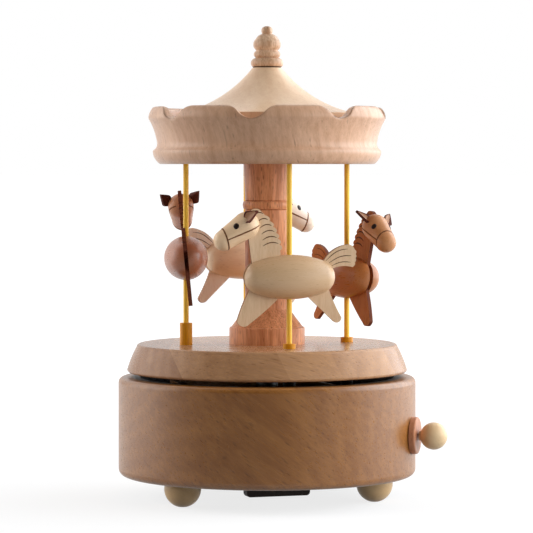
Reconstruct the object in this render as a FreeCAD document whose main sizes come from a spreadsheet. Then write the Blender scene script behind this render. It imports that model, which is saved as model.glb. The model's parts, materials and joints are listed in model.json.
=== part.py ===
"""Wind up carousel music box: turned wooden base, platform, column and canopy,
four horses on sliding poles, and the musical movement inside the base.

Millimetres. The origin lies on the carousel axis in the plane the feet stand on,
Z points up and X points at the stop knob.
"""
import FreeCAD, Part
import math
import os
from types import SimpleNamespace

import Sketcher

SIZES = {
    # round base on three ball feet
    "base_radius": 55.0,
    "base_height": 36.3,
    "base_wall": 10.0,
    "base_floor": 6.0,
    "base_top_round": 2.0,
    "base_bottom_round": 2.6,
    "arbor_opening_radius": 5.5,
    "foot_radius": 6.7,
    "foot_flat": 0.2,
    "foot_height": 8.7,
    "foot_circle": 41.3,
    "foot_azimuth": -2.5,
    "foot_tenon_radius": 2.5,
    "foot_tenon_length": 4.5,
    # turning platform
    "platform_gap": 1.8,
    "platform_height": 10.4,
    "platform_radius": 51.8,
    "platform_top_radius": 48.0,
    "platform_round": 1.0,
    # column between platform and canopy
    "column_height": 66.4,
    "column_foot_radius": 14.0,
    "column_foot_height": 6.3,
    "column_foot_round": 0.8,
    "column_flare_height": 6.8,
    "column_radius": 8.1,
    "column_top_radius": 8.7,
    "bead_level": 49.8,
    "bead_height": 2.9,
    "bead_radius": 9.05,
    "tenon_radius": 5.0,
    "tenon_length": 6.0,
    # canopy crown with eight scallops
    "crown_height": 21.0,
    "crown_floor": 13.4,
    "crown_bottom_radius": 39.6,
    "lip_radius": 42.2,
    "lip_height": 4.4,
    "crease_radius": 41.4,
    "crease_height": 5.5,
    "waist_radius": 40.6,
    "waist_height": 7.8,
    "crown_radius": 43.8,
    "flare_height": 16.8,
    "rim_round": 2.0,
    "rim_wall": 3.4,
    "scallop_depth": 4.7,
    "scallop_half_width": 9.8,
    # roof cone and finial
    "roof_trough": 6.8,
    "roof_edge": 5.3,
    "roof_height": 22.1,
    "roof_tip_radius": 5.4,
    "roof_hollow_radius": 46.0,
    "finial_tenon_radius": 2.0,
    "finial_tenon_length": 5.0,
    "finial_disc_radius": 5.95,
    "finial_ring_radius": 4.9,
    "finial_bulb_radius": 5.05,
    "finial_tip_radius": 2.1,
    "finial_height": 15.4,
    # poles and their sleeves
    "pole_circle": 30.8,
    "pole_azimuth": 30.0,
    "pole_radius": 1.0,
    "sleeve_radius": 2.3,
    "sleeve_length": 21.0,
    "low_show": 1.85,
    "high_show": 8.1,
    "stroke_half": 4.42,
    "pole_grip": 2.0,
    # horses
    "right_seat": 22.6,
    "back_seat": 22.5,
    "left_seat": 23.8,
    "front_seat": 24.0,
    "right_yaw": 16.0,
    "back_yaw": 5.0,
    "left_yaw": -13.0,
    "front_yaw": 0.0,
    "horse_roll": 5.5,
    "horse_half_length": 16.9,
    "horse_radius": 8.05,
    "horse_end_round": 6.2,
    "plate_thickness": 1.4,
    "front_slot": 3.2,
    "rear_slot": 5.2,
    "head_forward": 16.5,
    "head_up": 18.8,
    "head_drop": 34.0,
    "head_length": 9.8,
    "cranium_radius": 4.8,
    "muzzle_radius": 3.7,
    "ear_length": 9.0,
    "ear_half_width": 1.95,
    "ear_thickness": 0.9,
    # stop knob, its collar and rod
    "knob_level": 24.4,
    "knob_radius": 5.0,
    "knob_reach": 8.0,
    "knob_neck_radius": 1.85,
    "collar_radius": 6.8,
    "collar_thickness": 2.2,
    "spigot_radius": 3.0,
    "spigot_length": 4.0,
    "stop_rod_radius": 1.0,
    "stop_flange_radius": 3.0,
    "stop_flange_thickness": 0.8,
    "stop_gap": 0.4,
    # winding key and arbor
    "key_width": 24.5,
    "key_thickness": 4.6,
    "key_bottom": 0.4,
    "key_height": 7.5,
    "key_corner": 1.4,
    "key_turn": 32.0,
    "key_shift": 3.8,
    "arbor_radius": 2.0,
    "clutch_wire_radius": 0.25,
    "clutch_pitch": 0.7,
    # spring barrel, crown wheel and turntable shaft
    "bed_wall_gap": 0.3,
    "bedplate_thickness": 2.5,
    "barrel_lift": 0.6,
    "barrel_radius": 11.0,
    "barrel_height": 5.0,
    "barrel_wall": 1.0,
    "spring_thickness": 0.3,
    "spring_height": 3.2,
    "crown_wheel_thickness": 1.0,
    "crown_mean_radius": 9.6,
    "crown_face": 2.4,
    "shaft_radius": 2.0,
    "boss_radius": 4.0,
    "boss_height": 6.0,
    "hub_radius": 9.0,
    "hub_thickness": 1.5,
    "hub_boss_height": 6.0,
    "hub_screw_circle": 6.5,
    # pinned cylinder, comb and governor train
    "post_thickness": 1.3,
    "cylinder_length": 16.0,
    "cylinder_radius": 5.6,
    "cylinder_arbor_radius": 0.9,
    "pin_radius": 0.2,
    "pin_height": 0.5,
    "train_module": 0.4,
    "wheel_width": 1.0,
    "second_arbor_radius": 0.6,
    "second_rise": 8.0,
    "worm_radius": 1.5,
    "fan_radius": 4.2,
    "fan_height": 5.0,
    "fan_thickness": 0.8,
    "pivot_radius": 0.5,
    "comb_thickness": 1.2,
    "comb_tooth_length": 8.6,
    "comb_back": 6.4,
    "comb_slot": 0.25,
    "comb_clearance": 0.3,
    # sloping cam ledge
    "cam_seat": 18.3,
    "cam_ledge": 2.0,
    "cam_flange": 2.0,
    "cam_wall": 2.5,
    # fasteners and fits
    "screw_radius": 1.0,
    "screw_head_radius": 1.9,
    "screw_head_height": 1.2,
    "screw_length": 4.0,
    "glue_gap": 0.03,
    "slide_gap": 0.15,
    "run_gap": 0.08,
}

CROWN_TEETH = 36
PINION_TEETH = 10
WHEEL_TEETH = 26
SECOND_PINION_TEETH = 8
WORM_WHEEL_TEETH = 20
COMB_TEETH = 18
PINS_PER_TOOTH = 2
SCALLOPS = 8
FEET = 3
HUB_SCREWS = 3
ADDENDUM = 0.8
DEDENDUM = 1.1

doc = FreeCAD.newDocument("carousel_music_box")
sheet = doc.addObject("Spreadsheet::Sheet", "Sizes")
V = FreeCAD.Vector
nodes = []


class Size:
    """A value together with the sheet formula it comes from."""

    def __init__(self, value, text):
        self.value = float(value)
        self.text = text

    def __add__(self, other):
        other = as_size(other)
        return Size(self.value + other.value, f"({self.text} + {other.text})")

    def __sub__(self, other):
        other = as_size(other)
        return Size(self.value - other.value, f"({self.text} - {other.text})")

    def __mul__(self, other):
        other = as_size(other)
        return Size(self.value * other.value, f"({self.text} * {other.text})")

    def __truediv__(self, other):
        other = as_size(other)
        return Size(self.value / other.value, f"({self.text} / {other.text})")

    def __neg__(self):
        return Size(-self.value, f"(0 - {self.text})")

    def __radd__(self, other):
        return as_size(other) + self

    def __rsub__(self, other):
        return as_size(other) - self

    def __rmul__(self, other):
        return as_size(other) * self


def as_size(value):
    if isinstance(value, Size):
        return value
    return Size(value, f"({float(value)!r})")


def root(value):
    value = as_size(value)
    return Size(math.sqrt(value.value), f"sqrt({value.text})")


def cosine(angle):
    angle = as_size(angle)
    return Size(math.cos(math.radians(angle.value)), f"cos({angle.text})")


def sine(angle):
    angle = as_size(angle)
    return Size(math.sin(math.radians(angle.value)), f"sin({angle.text})")


def arc_tangent(ratio):
    ratio = as_size(ratio)
    return Size(math.degrees(math.atan(ratio.value)), f"(atan({ratio.text}) / 1 deg)")


def turn_point(x, y, angle):
    """The point (x, y) turned about the origin."""
    return (x * cosine(angle) - y * sine(angle), x * sine(angle) + y * cosine(angle))


def bind(item, name, value):
    item.setExpression(name, as_size(value).text)


def read_sheet():
    """Write the sizes to the sheet and give each of them as a named Size."""
    named = SimpleNamespace()
    for row, (alias, value) in enumerate(SIZES.items(), 1):
        sheet.set(f"A{row}", alias)
        sheet.set(f"B{row}", str(value))
        sheet.setAlias(f"B{row}", alias)
        setattr(named, alias, Size(value, f"Sizes.{alias}"))
    doc.recompute()
    return named


def new_body(label):
    body = doc.addObject("PartDesign::Body", label)
    body.Label = label
    return body


def origin_feature(body, role):
    return next(item for item in body.Origin.OriginFeatures if item.Role == role)


def sketch(body, role, name, offset=0.0):
    drawing = body.newObject("Sketcher::SketchObject", name)
    drawing.AttachmentSupport = [(origin_feature(body, role), "")]
    drawing.MapMode = "FlatFace"
    bind(drawing, "AttachmentOffset.Base.z", offset)
    return drawing


def constrain(drawing, value, *args):
    value = as_size(value)
    index = drawing.addConstraint(Sketcher.Constraint(*args, value.value))
    drawing.setExpression(f"Constraints[{index}]", value.text)


def arc_between(start, end, radius, side):
    """Short arc from start to end; side is 1 with its centre on the left, -1 on the right."""
    along = end - start
    rise = math.sqrt(max(radius ** 2 - (along.Length / 2) ** 2, 0.0))
    left = V(-along.y, along.x, 0).normalize()
    centre = (start + end) / 2 + left * (rise * side)
    first, last = (start, end) if side > 0 else (end, start)
    angles = [math.atan2(p.y - centre.y, p.x - centre.x) for p in (first, last)]
    return Part.ArcOfCircle(Part.Circle(centre, V(0, 0, 1), radius), *angles)


def draw(drawing, corners, arcs=None):
    """Closed outline through the corners. arcs maps an edge number to (radius, side)."""
    arcs = arcs or {}
    corners = [(as_size(x), as_size(y)) for x, y in corners]
    points = [V(x.value, y.value, 0) for x, y in corners]
    edges = []
    for number, start in enumerate(points):
        end = points[(number + 1) % len(points)]
        if number in arcs:
            radius, side = as_size(arcs[number][0]), arcs[number][1]
            edge = drawing.addGeometry(arc_between(start, end, radius.value, side))
            edges.append((edge, 1, 2) if side > 0 else (edge, 2, 1))
        else:
            edge = drawing.addGeometry(Part.LineSegment(start, end))
            edges.append((edge, 1, 2))
    for number, (edge, first, last) in enumerate(edges):
        following, following_first, _ = edges[(number + 1) % len(edges)]
        drawing.addConstraint(
            Sketcher.Constraint("Coincident", edge, last, following, following_first))
    for number, (edge, first, last) in enumerate(edges):
        constrain(drawing, corners[number][0], "DistanceX", -1, 1, edge, first)
        constrain(drawing, corners[number][1], "DistanceY", -1, 1, edge, first)
        if number in arcs:
            constrain(drawing, arcs[number][0], "Radius", edge)
    return drawing


def draw_circles(drawing, centres, radius):
    for x, y in centres:
        x, y, radius = as_size(x), as_size(y), as_size(radius)
        circle = Part.Circle(V(x.value, y.value, 0), V(0, 0, 1), radius.value)
        edge = drawing.addGeometry(circle)
        constrain(drawing, x, "DistanceX", -1, 1, edge, 3)
        constrain(drawing, y, "DistanceY", -1, 1, edge, 3)
        constrain(drawing, radius, "Radius", edge)
    return drawing


def turned(label, corners, arcs=None, axis="V_Axis", role="XZ_Plane"):
    """Solid of revolution of a half outline in the XZ plane."""
    body = new_body(label)
    profile = draw(sketch(body, role, label + "_profile"), corners, arcs)
    feature = body.newObject("PartDesign::Revolution", label + "_turning")
    feature.Profile = profile
    feature.ReferenceAxis = (profile, [axis])
    feature.Angle = 360
    return body


def pad(body, profile, length):
    feature = body.newObject("PartDesign::Pad", profile.Name + "_pad")
    feature.Profile = profile
    bind(feature, "Length", length)
    return feature


def pocket(body, profile, length):
    """Cut along the sketch normal and make sure that material went."""
    doc.recompute()
    before = body.Shape.Volume
    feature = body.newObject("PartDesign::Pocket", profile.Name + "_cut")
    feature.Profile = profile
    feature.Reversed = True
    bind(feature, "Length", length)
    doc.recompute()
    if body.Shape.Volume > before - 1e-4:
        raise RuntimeError(f"{profile.Name} cuts nothing")
    return feature


def drill(body, name, centres, radius, start, depth, role="XY_Plane"):
    """Round holes from the level start, deep along the plane's normal."""
    profile = draw_circles(sketch(body, role, name, start), centres, radius)
    return pocket(body, profile, depth)


def polar(body, feature, role, count):
    pattern = body.newObject("PartDesign::PolarPattern", feature.Name + "_ring")
    pattern.Originals = [feature]
    pattern.Axis = (origin_feature(body, role), [""])
    pattern.Angle = 360
    pattern.Occurrences = count
    body.Tip = pattern
    return pattern


def box(name, x, y, z):
    """Block between two values along each axis."""
    block = doc.addObject("Part::Box", name)
    for prop, axis, (low, high) in (("Length", "x", x), ("Width", "y", y), ("Height", "z", z)):
        bind(block, prop, as_size(high) - low)
        bind(block, f"Placement.Base.{axis}", low)
    return block


def cylinder(name, radius, start, length, along="z"):
    """Cylinder from its start point along an axis."""
    rod = doc.addObject("Part::Cylinder", name)
    bind(rod, "Radius", radius)
    bind(rod, "Height", length)
    if along == "x":
        rod.Placement.Rotation = FreeCAD.Rotation(V(0, 1, 0), 90)
    for axis, value in zip("xyz", start):
        bind(rod, f"Placement.Base.{axis}", value)
    return rod


def fuse(name, shapes):
    whole = doc.addObject("Part::MultiFuse", name)
    whole.Shapes = shapes
    return whole


def cut(name, base, tools):
    result = doc.addObject("Part::Cut", name)
    result.Base = base
    result.Tool = tools[0] if len(tools) == 1 else fuse(name + "_tools", tools)
    return result


def group(name, items):
    whole = doc.addObject("Part::Compound", name)
    whole.Links = items
    return whole


def place(item, x, y, z, turn=0.0):
    """Move an item and turn it about the vertical."""
    for axis, value in zip("xyz", (x, y, z)):
        bind(item, f"Placement.Base.{axis}", value)
    bind(item, "Placement.Rotation.Angle", turn)
    return item


def node(item, label):
    item.Label = label
    nodes.append(item)
    return item


S = read_sheet()

# levels and fits shared by several pieces
base_top = S.foot_height + S.base_height
floor_top = S.foot_height + S.base_floor
cavity_radius = S.base_radius - S.base_wall
cam_level = floor_top + S.cam_seat
upper_cavity_radius = cavity_radius + S.cam_ledge
platform_bottom = base_top + S.platform_gap
platform_top = platform_bottom + S.platform_height
crown_bottom = platform_top + S.column_height
roof_bottom = crown_bottom + S.crown_floor
bed_top = floor_top + S.bedplate_thickness
barrel_bottom = bed_top + S.barrel_lift
barrel_top = barrel_bottom + S.barrel_height
crown_root = barrel_top + S.crown_wheel_thickness
crown_module = S.crown_mean_radius * 2 / CROWN_TEETH
cylinder_level = crown_root + crown_module * (DEDENDUM + PINION_TEETH / 2)
barrel_post = S.barrel_radius + 0.5
cylinder_start = barrel_post + S.post_thickness + 0.4
cylinder_end = cylinder_start + S.cylinder_length

# plan of the train: u runs along the cylinder, v to its left
wheel_start = cylinder_end + 1.8
wheel_mesh = S.train_module * ((WHEEL_TEETH + SECOND_PINION_TEETH) / 2)
second_v = -wheel_mesh * cosine(S.second_rise)
second_level = cylinder_level + wheel_mesh * sine(S.second_rise)
worm_wheel_start = wheel_start + S.wheel_width + 1.5
worm_u = worm_wheel_start + S.wheel_width / 2
worm_v = second_v - S.train_module * (WORM_WHEEL_TEETH / 2) - S.worm_radius
worm_reach = root(worm_u * worm_u + worm_v * worm_v)
worm_lead = S.train_module * math.pi
movement_turn = -arc_tangent(worm_v / worm_u)
worm_bottom = second_level - worm_lead * 2.4
worm_top = second_level + worm_lead * 2.4
fan_bottom = second_level - S.train_module * (WORM_WHEEL_TEETH / 2 + 1) - 0.4 - S.fan_height
bracket_outer = worm_v - S.fan_radius - 2.8
bed_edge_v = bracket_outer - 0.3
bed_edge_u = worm_u + 4.5
comb_tip = S.cylinder_radius + S.pin_height + S.comb_clearance
comb_root = comb_tip + S.comb_tooth_length
comb_end = comb_root + S.comb_back
comb_screws = [(cylinder_start + S.cylinder_length * share, comb_root + S.comb_back * 0.5)
               for share in (0.25, 0.75)]
bracket_screw = (worm_u - 5.5, bracket_outer + 1.2)
bed_screws = [(-S.barrel_radius + 1.0, bed_edge_v + 4.0),
              (-S.barrel_radius + 1.0, comb_end - 4.0),
              (worm_u - 14.0, bed_edge_v + 4.0)]
comb_seat = cylinder_level - S.comb_thickness / 2
bracket_foot = 1.5

# base: turned shell with a stepped cavity
base = turned("base_shell", [
    (S.arbor_opening_radius, S.foot_height),
    (S.base_radius - S.base_bottom_round, S.foot_height),
    (S.base_radius, S.foot_height + S.base_bottom_round),
    (S.base_radius, base_top - S.base_top_round),
    (S.base_radius - S.base_top_round, base_top),
    (upper_cavity_radius, base_top),
    (upper_cavity_radius, cam_level),
    (cavity_radius, cam_level),
    (cavity_radius, floor_top),
    (S.arbor_opening_radius, floor_top),
], {1: (S.base_bottom_round, 1), 3: (S.base_top_round, 1)})
foot_angles = [S.foot_azimuth + 360.0 / FEET * number for number in range(FEET)]
foot_places = [turn_point(S.foot_circle, 0.0, angle) for angle in foot_angles]
drill(base, "foot_sockets", foot_places, S.foot_tenon_radius + S.glue_gap,
      S.foot_height, S.foot_tenon_length + 0.3)
bed_screw_places = [turn_point(u, v, movement_turn) for u, v in bed_screws]
drill(base, "bed_screw_holes", bed_screw_places, S.screw_radius + S.slide_gap,
      S.foot_height, S.base_floor + 1.0)
drill(base, "bed_screw_seats", bed_screw_places, S.screw_head_radius + S.slide_gap,
      S.foot_height, S.screw_head_height)
drill(base, "stop_rod_hole", [(0.0, S.knob_level)], S.stop_rod_radius + S.slide_gap,
      cavity_radius - 2.0, S.base_wall + 3.0, "YZ_Plane")
drill(base, "collar_hole", [(0.0, S.knob_level)], S.spigot_radius + S.glue_gap,
      S.base_radius - S.spigot_length - 0.3, S.spigot_length + 1.0, "YZ_Plane")
node(base, "base_shell")

# ball feet with a sanded flat below and a dowel above
foot_centre = S.foot_radius - S.foot_flat
foot_seat = S.foot_height - foot_centre
feet = []
for number, (x, y) in enumerate(foot_places):
    foot = turned(f"foot_{number}", [
        (0.0, 0.0),
        (root(S.foot_radius * S.foot_radius - foot_centre * foot_centre), 0.0),
        (root(S.foot_radius * S.foot_radius - foot_seat * foot_seat), S.foot_height),
        (S.foot_tenon_radius, S.foot_height),
        (S.foot_tenon_radius, S.foot_height + S.foot_tenon_length),
        (0.0, S.foot_height + S.foot_tenon_length),
    ], {1: (S.foot_radius, 1)})
    feet.append(place(foot, x, y, 0.0))
node(group("feet", feet), "ball_feet")

# platform with a central socket, sleeve holes and hub screw holes
platform = turned("platform", [
    (0.0, 0.0),
    (S.platform_radius - S.platform_round, 0.0),
    (S.platform_radius, S.platform_round),
    (S.platform_top_radius + S.platform_round * 0.3, S.platform_height - S.platform_round),
    (S.platform_top_radius - S.platform_round * 0.7, S.platform_height),
    (0.0, S.platform_height),
], {1: (S.platform_round, 1), 2: (40.0, 1), 3: (S.platform_round * 1.1, 1)})
pole_angles = [S.pole_azimuth + 90.0 * number for number in range(4)]
pole_places = [turn_point(S.pole_circle, 0.0, angle) for angle in pole_angles]
hub_screw_places = [turn_point(S.hub_screw_circle, 0.0, 360.0 / HUB_SCREWS * number)
                    for number in range(HUB_SCREWS)]
drill(platform, "sleeve_holes", pole_places, S.sleeve_radius + S.slide_gap,
      -1.0, S.platform_height + 2.0)
drill(platform, "column_socket", [(0.0, 0.0)], S.tenon_radius + S.glue_gap,
      S.platform_height - S.tenon_length, S.tenon_length + 1.0)
drill(platform, "hub_screw_holes", hub_screw_places, S.screw_radius + S.glue_gap,
      -1.0, S.screw_length - S.hub_thickness + 1.3)
node(place(platform, 0.0, 0.0, platform_bottom), "platform")

# column: flared foot, bead between two fine grooves, a tenon at each end
bead_bottom = S.bead_level
bead_top = S.bead_level + S.bead_height
groove = 0.35
column = turned("column", [
    (0.0, groove - S.tenon_length),
    (S.tenon_radius, groove - S.tenon_length),
    (S.tenon_radius, 0.0),
    (S.column_foot_radius, 0.0),
    (S.column_foot_radius, S.column_foot_height - S.column_foot_round),
    (S.column_foot_radius - S.column_foot_round, S.column_foot_height),
    (S.column_radius, S.column_foot_height + S.column_flare_height),
    (S.column_radius, bead_bottom - groove),
    (S.column_radius - groove, bead_bottom),
    (S.bead_radius - 0.4, bead_bottom),
    (S.bead_radius - 0.4, bead_top),
    (S.column_radius - groove, bead_top),
    (S.column_radius, bead_top + groove),
    (S.column_top_radius, S.column_height),
    (S.tenon_radius, S.column_height),
    (S.tenon_radius, S.column_height + S.tenon_length - groove),
    (0.0, S.column_height + S.tenon_length - groove),
], {4: (S.column_foot_round, 1), 9: (S.bead_height, 1)})
node(place(column, 0.0, 0.0, platform_top), "column")

rim_inner = S.crown_radius - S.rim_wall - 0.6

# canopy crown: dished, scalloped rim, blind pole holes in its floor
crown = turned("canopy_crown", [
    (0.0, 0.0),
    (S.crown_bottom_radius, 0.0),
    (S.lip_radius, S.lip_height),
    (S.crease_radius, S.crease_height),
    (S.waist_radius, S.waist_height),
    (S.crown_radius, S.flare_height),
    (S.crown_radius - S.rim_round * 0.5, S.crown_height - S.rim_round * 0.5),
    (S.crown_radius - S.rim_wall * 0.6, S.crown_height),
    (S.crown_radius - S.rim_wall, S.crown_height - S.rim_round * 0.5),
    (rim_inner, S.crown_floor),
    (0.0, S.crown_floor),
], {1: (6.0, 1), 2: (1.2, 1), 3: (3.0, -1), 4: (24.0, -1), 5: (6.0, 1), 6: (S.rim_round, 1),
    7: (S.rim_round, 1)})
drill(crown, "crown_socket", [(0.0, 0.0)], S.tenon_radius + S.glue_gap, -1.0, S.tenon_length + 1.0)
crown_turn = S.pole_azimuth - 180.0 / SCALLOPS
own_pole_places = [turn_point(S.pole_circle, 0.0, angle - crown_turn) for angle in pole_angles]
drill(crown, "pole_holes", own_pole_places, S.pole_radius + S.slide_gap,
      -1.0, S.pole_grip + S.stroke_half * 2 + 1.8)
half = S.scallop_half_width / 2
scallop_mid = S.crown_height - S.scallop_depth / 2
scallop_round = (half * half + S.scallop_depth * S.scallop_depth / 4) / S.scallop_depth
scallop = draw(sketch(crown, "XZ_Plane", "scallop"), [
    (-S.scallop_half_width, S.crown_height + 0.01),
    (-half, scallop_mid),
    (half, scallop_mid),
    (S.scallop_half_width, S.crown_height + 0.01),
    (S.scallop_half_width, S.crown_height + 2.0),
    (-S.scallop_half_width, S.crown_height + 2.0),
], {0: (scallop_round, -1), 1: (scallop_round, 1), 2: (scallop_round, -1)})
scallop_cut = pocket(crown, scallop, S.crown_radius + 2.0)
polar(crown, scallop_cut, "Z_Axis", SCALLOPS)
node(place(crown, 0.0, 0.0, crown_bottom, crown_turn), "canopy_crown")

# roof: hollow sided cone standing in the crown
roof_radius = rim_inner - S.roof_trough
roof = turned("roof", [
    (0.0, 0.0),
    (roof_radius, 0.0),
    (roof_radius, S.roof_edge),
    (S.roof_tip_radius, S.roof_height),
    (0.0, S.roof_height),
], {2: (S.roof_hollow_radius, -1)})
drill(roof, "finial_socket", [(0.0, 0.0)], S.finial_tenon_radius + S.glue_gap,
      S.roof_height - S.finial_tenon_length - 0.3, S.finial_tenon_length + 1.0)
node(place(roof, 0.0, 0.0, roof_bottom), "roof")

# finial: disc, ring, bulb and tip turned in one piece
unit = S.finial_height / 15.4
tip_half = S.finial_tip_radius - 0.3 * unit
tip_rise = 0.7 * unit
tip_round = (tip_half * tip_half + tip_rise * tip_rise) / (tip_rise * 2)
finial = turned("finial", [
    (0.0, -S.finial_tenon_length),
    (S.finial_tenon_radius, -S.finial_tenon_length),
    (S.finial_tenon_radius, 0.0),
    (S.finial_disc_radius - 1.0 * unit, 0.0),
    (S.finial_disc_radius - 1.0 * unit, 3.4 * unit),
    (S.finial_ring_radius - 0.8 * unit, 3.7 * unit),
    (S.finial_ring_radius - 0.8 * unit, 6.2 * unit),
    (S.finial_bulb_radius - 1.0 * unit, 6.5 * unit),
    (S.finial_bulb_radius - 0.9 * unit, 10.6 * unit),
    (S.finial_tip_radius, 12.4 * unit),
    (S.finial_tip_radius - 0.25 * unit, 12.7 * unit),
    (tip_half, S.finial_height - tip_rise),
    (0.0, S.finial_height),
], {3: (1.9 * unit, 1), 5: (1.35 * unit, 1), 7: (2.6 * unit, 1), 8: (3.4 * unit, 1),
    10: (1.9 * unit, 1), 11: (tip_round, 1)})
node(place(finial, 0.0, 0.0, roof_bottom + S.roof_height), "finial")

# knob collar, ball knob and stop rod along X
collar = turned("knob_collar", [
    (0.0, -S.spigot_length),
    (S.spigot_radius, -S.spigot_length),
    (S.spigot_radius, 0.0),
    (S.collar_radius, 0.0),
    (S.collar_radius, S.collar_thickness - 0.6),
    (S.collar_radius - 0.6, S.collar_thickness),
    (0.0, S.collar_thickness),
], {4: (0.6, 1)})
drill(collar, "collar_bore", [(0.0, 0.0)], S.stop_rod_radius + S.slide_gap,
      -S.spigot_length - 1.0, S.spigot_length + S.collar_thickness + 2.0)
knob_centre = S.knob_reach - S.collar_thickness
knob_neck = root(S.knob_radius * S.knob_radius - S.knob_neck_radius * S.knob_neck_radius)
knob_start = 0.5
knob = turned("stop_knob", [
    (0.0, knob_start),
    (S.knob_neck_radius, knob_start),
    (S.knob_neck_radius, knob_centre - knob_neck),
    (S.knob_radius, knob_centre),
    (0.0, knob_centre + S.knob_radius),
], {2: (S.knob_radius, 1), 3: (S.knob_radius, 1)})
rod_depth = 4.0
drill(knob, "rod_socket", [(0.0, 0.0)], S.stop_rod_radius + S.glue_gap, 0.0, knob_start + rod_depth)
stop_tip = worm_reach + S.fan_radius + S.stop_gap
rod_end = S.base_radius + S.collar_thickness + knob_start + rod_depth - 0.2
stop_rod = turned("stop_rod", [
    (0.0, 0.0),
    (S.stop_flange_radius, 0.0),
    (S.stop_flange_radius, S.stop_flange_thickness),
    (S.stop_rod_radius, S.stop_flange_thickness),
    (S.stop_rod_radius, rod_end - stop_tip),
    (0.0, rod_end - stop_tip),
])
lie_along_x = FreeCAD.Rotation(V(0, 1, 0), 90)
for body, start in ((collar, S.base_radius), (knob, S.base_radius + S.collar_thickness),
                    (stop_rod, stop_tip)):
    body.Placement.Rotation = lie_along_x
    bind(body, "Placement.Base.x", start)
    bind(body, "Placement.Base.z", S.knob_level)
    node(body, body.Label)

# winding key, arbor and the wrap spring that keeps the arbor from running back
key = new_body("winding_key")
key_right = S.key_width / 2 + S.key_shift
key_left = S.key_shift - S.key_width / 2
key_top = S.key_bottom + S.key_height
key_outline = draw(sketch(key, "XZ_Plane", "key_outline", -S.key_thickness / 2), [
    (key_left + S.key_corner, S.key_bottom),
    (key_right - S.key_corner, S.key_bottom),
    (key_right, S.key_bottom + S.key_corner),
    (key_right, key_top - 1.0),
    (key_right - 1.0, key_top),
    (key_left + 1.0, key_top),
    (key_left, key_top - 1.0),
    (key_left, S.key_bottom + S.key_corner),
], {1: (S.key_corner, 1), 3: (1.0, 1), 5: (1.0, 1), 7: (S.key_corner, 1)})
pad(key, key_outline, S.key_thickness)
hub_disc = draw_circles(sketch(key, "XY_Plane", "key_hub", S.key_bottom + S.key_corner),
                        [(0.0, 0.0)], S.arbor_radius + 1.5)
pad(key, hub_disc, S.key_height - S.key_corner)
key_grip = S.key_height - 2.0
drill(key, "key_bore", [(0.0, 0.0)], S.arbor_radius + S.glue_gap, key_top - key_grip, key_grip + 1.0)
node(place(key, 0.0, 0.0, 0.0, S.key_turn), "winding_key")
arbor_start = key_top - key_grip + 0.1
arbor_top = barrel_top - 0.8
node(cylinder("arbor", S.arbor_radius, (0.0, 0.0, arbor_start), arbor_top - arbor_start), "winding_arbor")

clutch = new_body("clutch_spring")
clutch_radius = S.arbor_radius + S.run_gap + S.clutch_wire_radius
clutch_height = S.base_floor - S.clutch_wire_radius * 2 - 1.2
clutch_wire = draw_circles(
    sketch(clutch, "XZ_Plane", "clutch_wire"),
    [(clutch_radius, floor_top - clutch_height - S.clutch_wire_radius - 0.1)], S.clutch_wire_radius)
clutch_coil = clutch.newObject("PartDesign::AdditiveHelix", "clutch_coil")
clutch_coil.Profile = clutch_wire
clutch_coil.ReferenceAxis = (clutch_wire, ["V_Axis"])
clutch_coil.Mode = 0
bind(clutch_coil, "Pitch", S.clutch_pitch)
bind(clutch_coil, "Height", clutch_height)
node(clutch, "clutch_spring")

# spring barrel with its floor below, closed by the crown wheel
barrel_inner = S.barrel_radius - S.barrel_wall
barrel_bore = S.arbor_radius + S.run_gap
node(turned("spring_barrel", [
    (barrel_bore, barrel_bottom),
    (S.barrel_radius, barrel_bottom),
    (S.barrel_radius, barrel_top),
    (barrel_inner, barrel_top),
    (barrel_inner, barrel_bottom + S.barrel_wall),
    (barrel_bore, barrel_bottom + S.barrel_wall),
]), "spring_barrel")

crown_wheel = turned("crown_wheel", [
    (0.0, barrel_top),
    (S.barrel_radius, barrel_top),
    (S.barrel_radius, crown_root),
    (S.boss_radius, crown_root),
    (S.boss_radius, crown_root + S.boss_height),
    (0.0, crown_root + S.boss_height),
])
drill(crown_wheel, "shaft_socket", [(0.0, 0.0)], S.shaft_radius + S.glue_gap,
      crown_root + 0.2, S.boss_height + 1.0)


def tooth_corners(module, height, root_level):
    """Trapezium of one tooth: half widths at its foot, at its tip, and its levels."""
    pitch = module * math.pi
    return [(-pitch * 0.24, root_level - 0.15), (pitch * 0.24, root_level - 0.15),
            (pitch * 0.1, root_level + height), (-pitch * 0.1, root_level + height)]


crown_tooth_height = crown_module * (ADDENDUM + DEDENDUM)
crown_tooth = draw(sketch(crown_wheel, "YZ_Plane", "crown_tooth", S.crown_mean_radius - S.crown_face / 2),
                   tooth_corners(crown_module, crown_tooth_height, crown_root))
polar(crown_wheel, pad(crown_wheel, crown_tooth, S.crown_face), "Z_Axis", CROWN_TEETH)
node(crown_wheel, "crown_wheel")

# mainspring: flat strip wound in half circles of growing radius
spring_turns = 5
spring_start = S.arbor_radius.value + 0.6
spring_step = (barrel_inner.value - 0.7 - spring_start) / (2 * spring_turns)


def spiral(offset):
    """Half circle arcs of the spiral, shifted outward by the offset."""
    arcs = []
    for number in range(2 * spring_turns):
        radius = spring_start + spring_step * number + offset
        centre = spring_step / 2 * (1 if number % 2 else -1)
        side = -1 if number % 2 else 1
        arcs.append(Part.Arc(V(centre + side * radius, 0, 0), V(centre, side * radius, 0),
                             V(centre - side * radius, 0, 0)).toShape())
    return arcs


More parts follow.
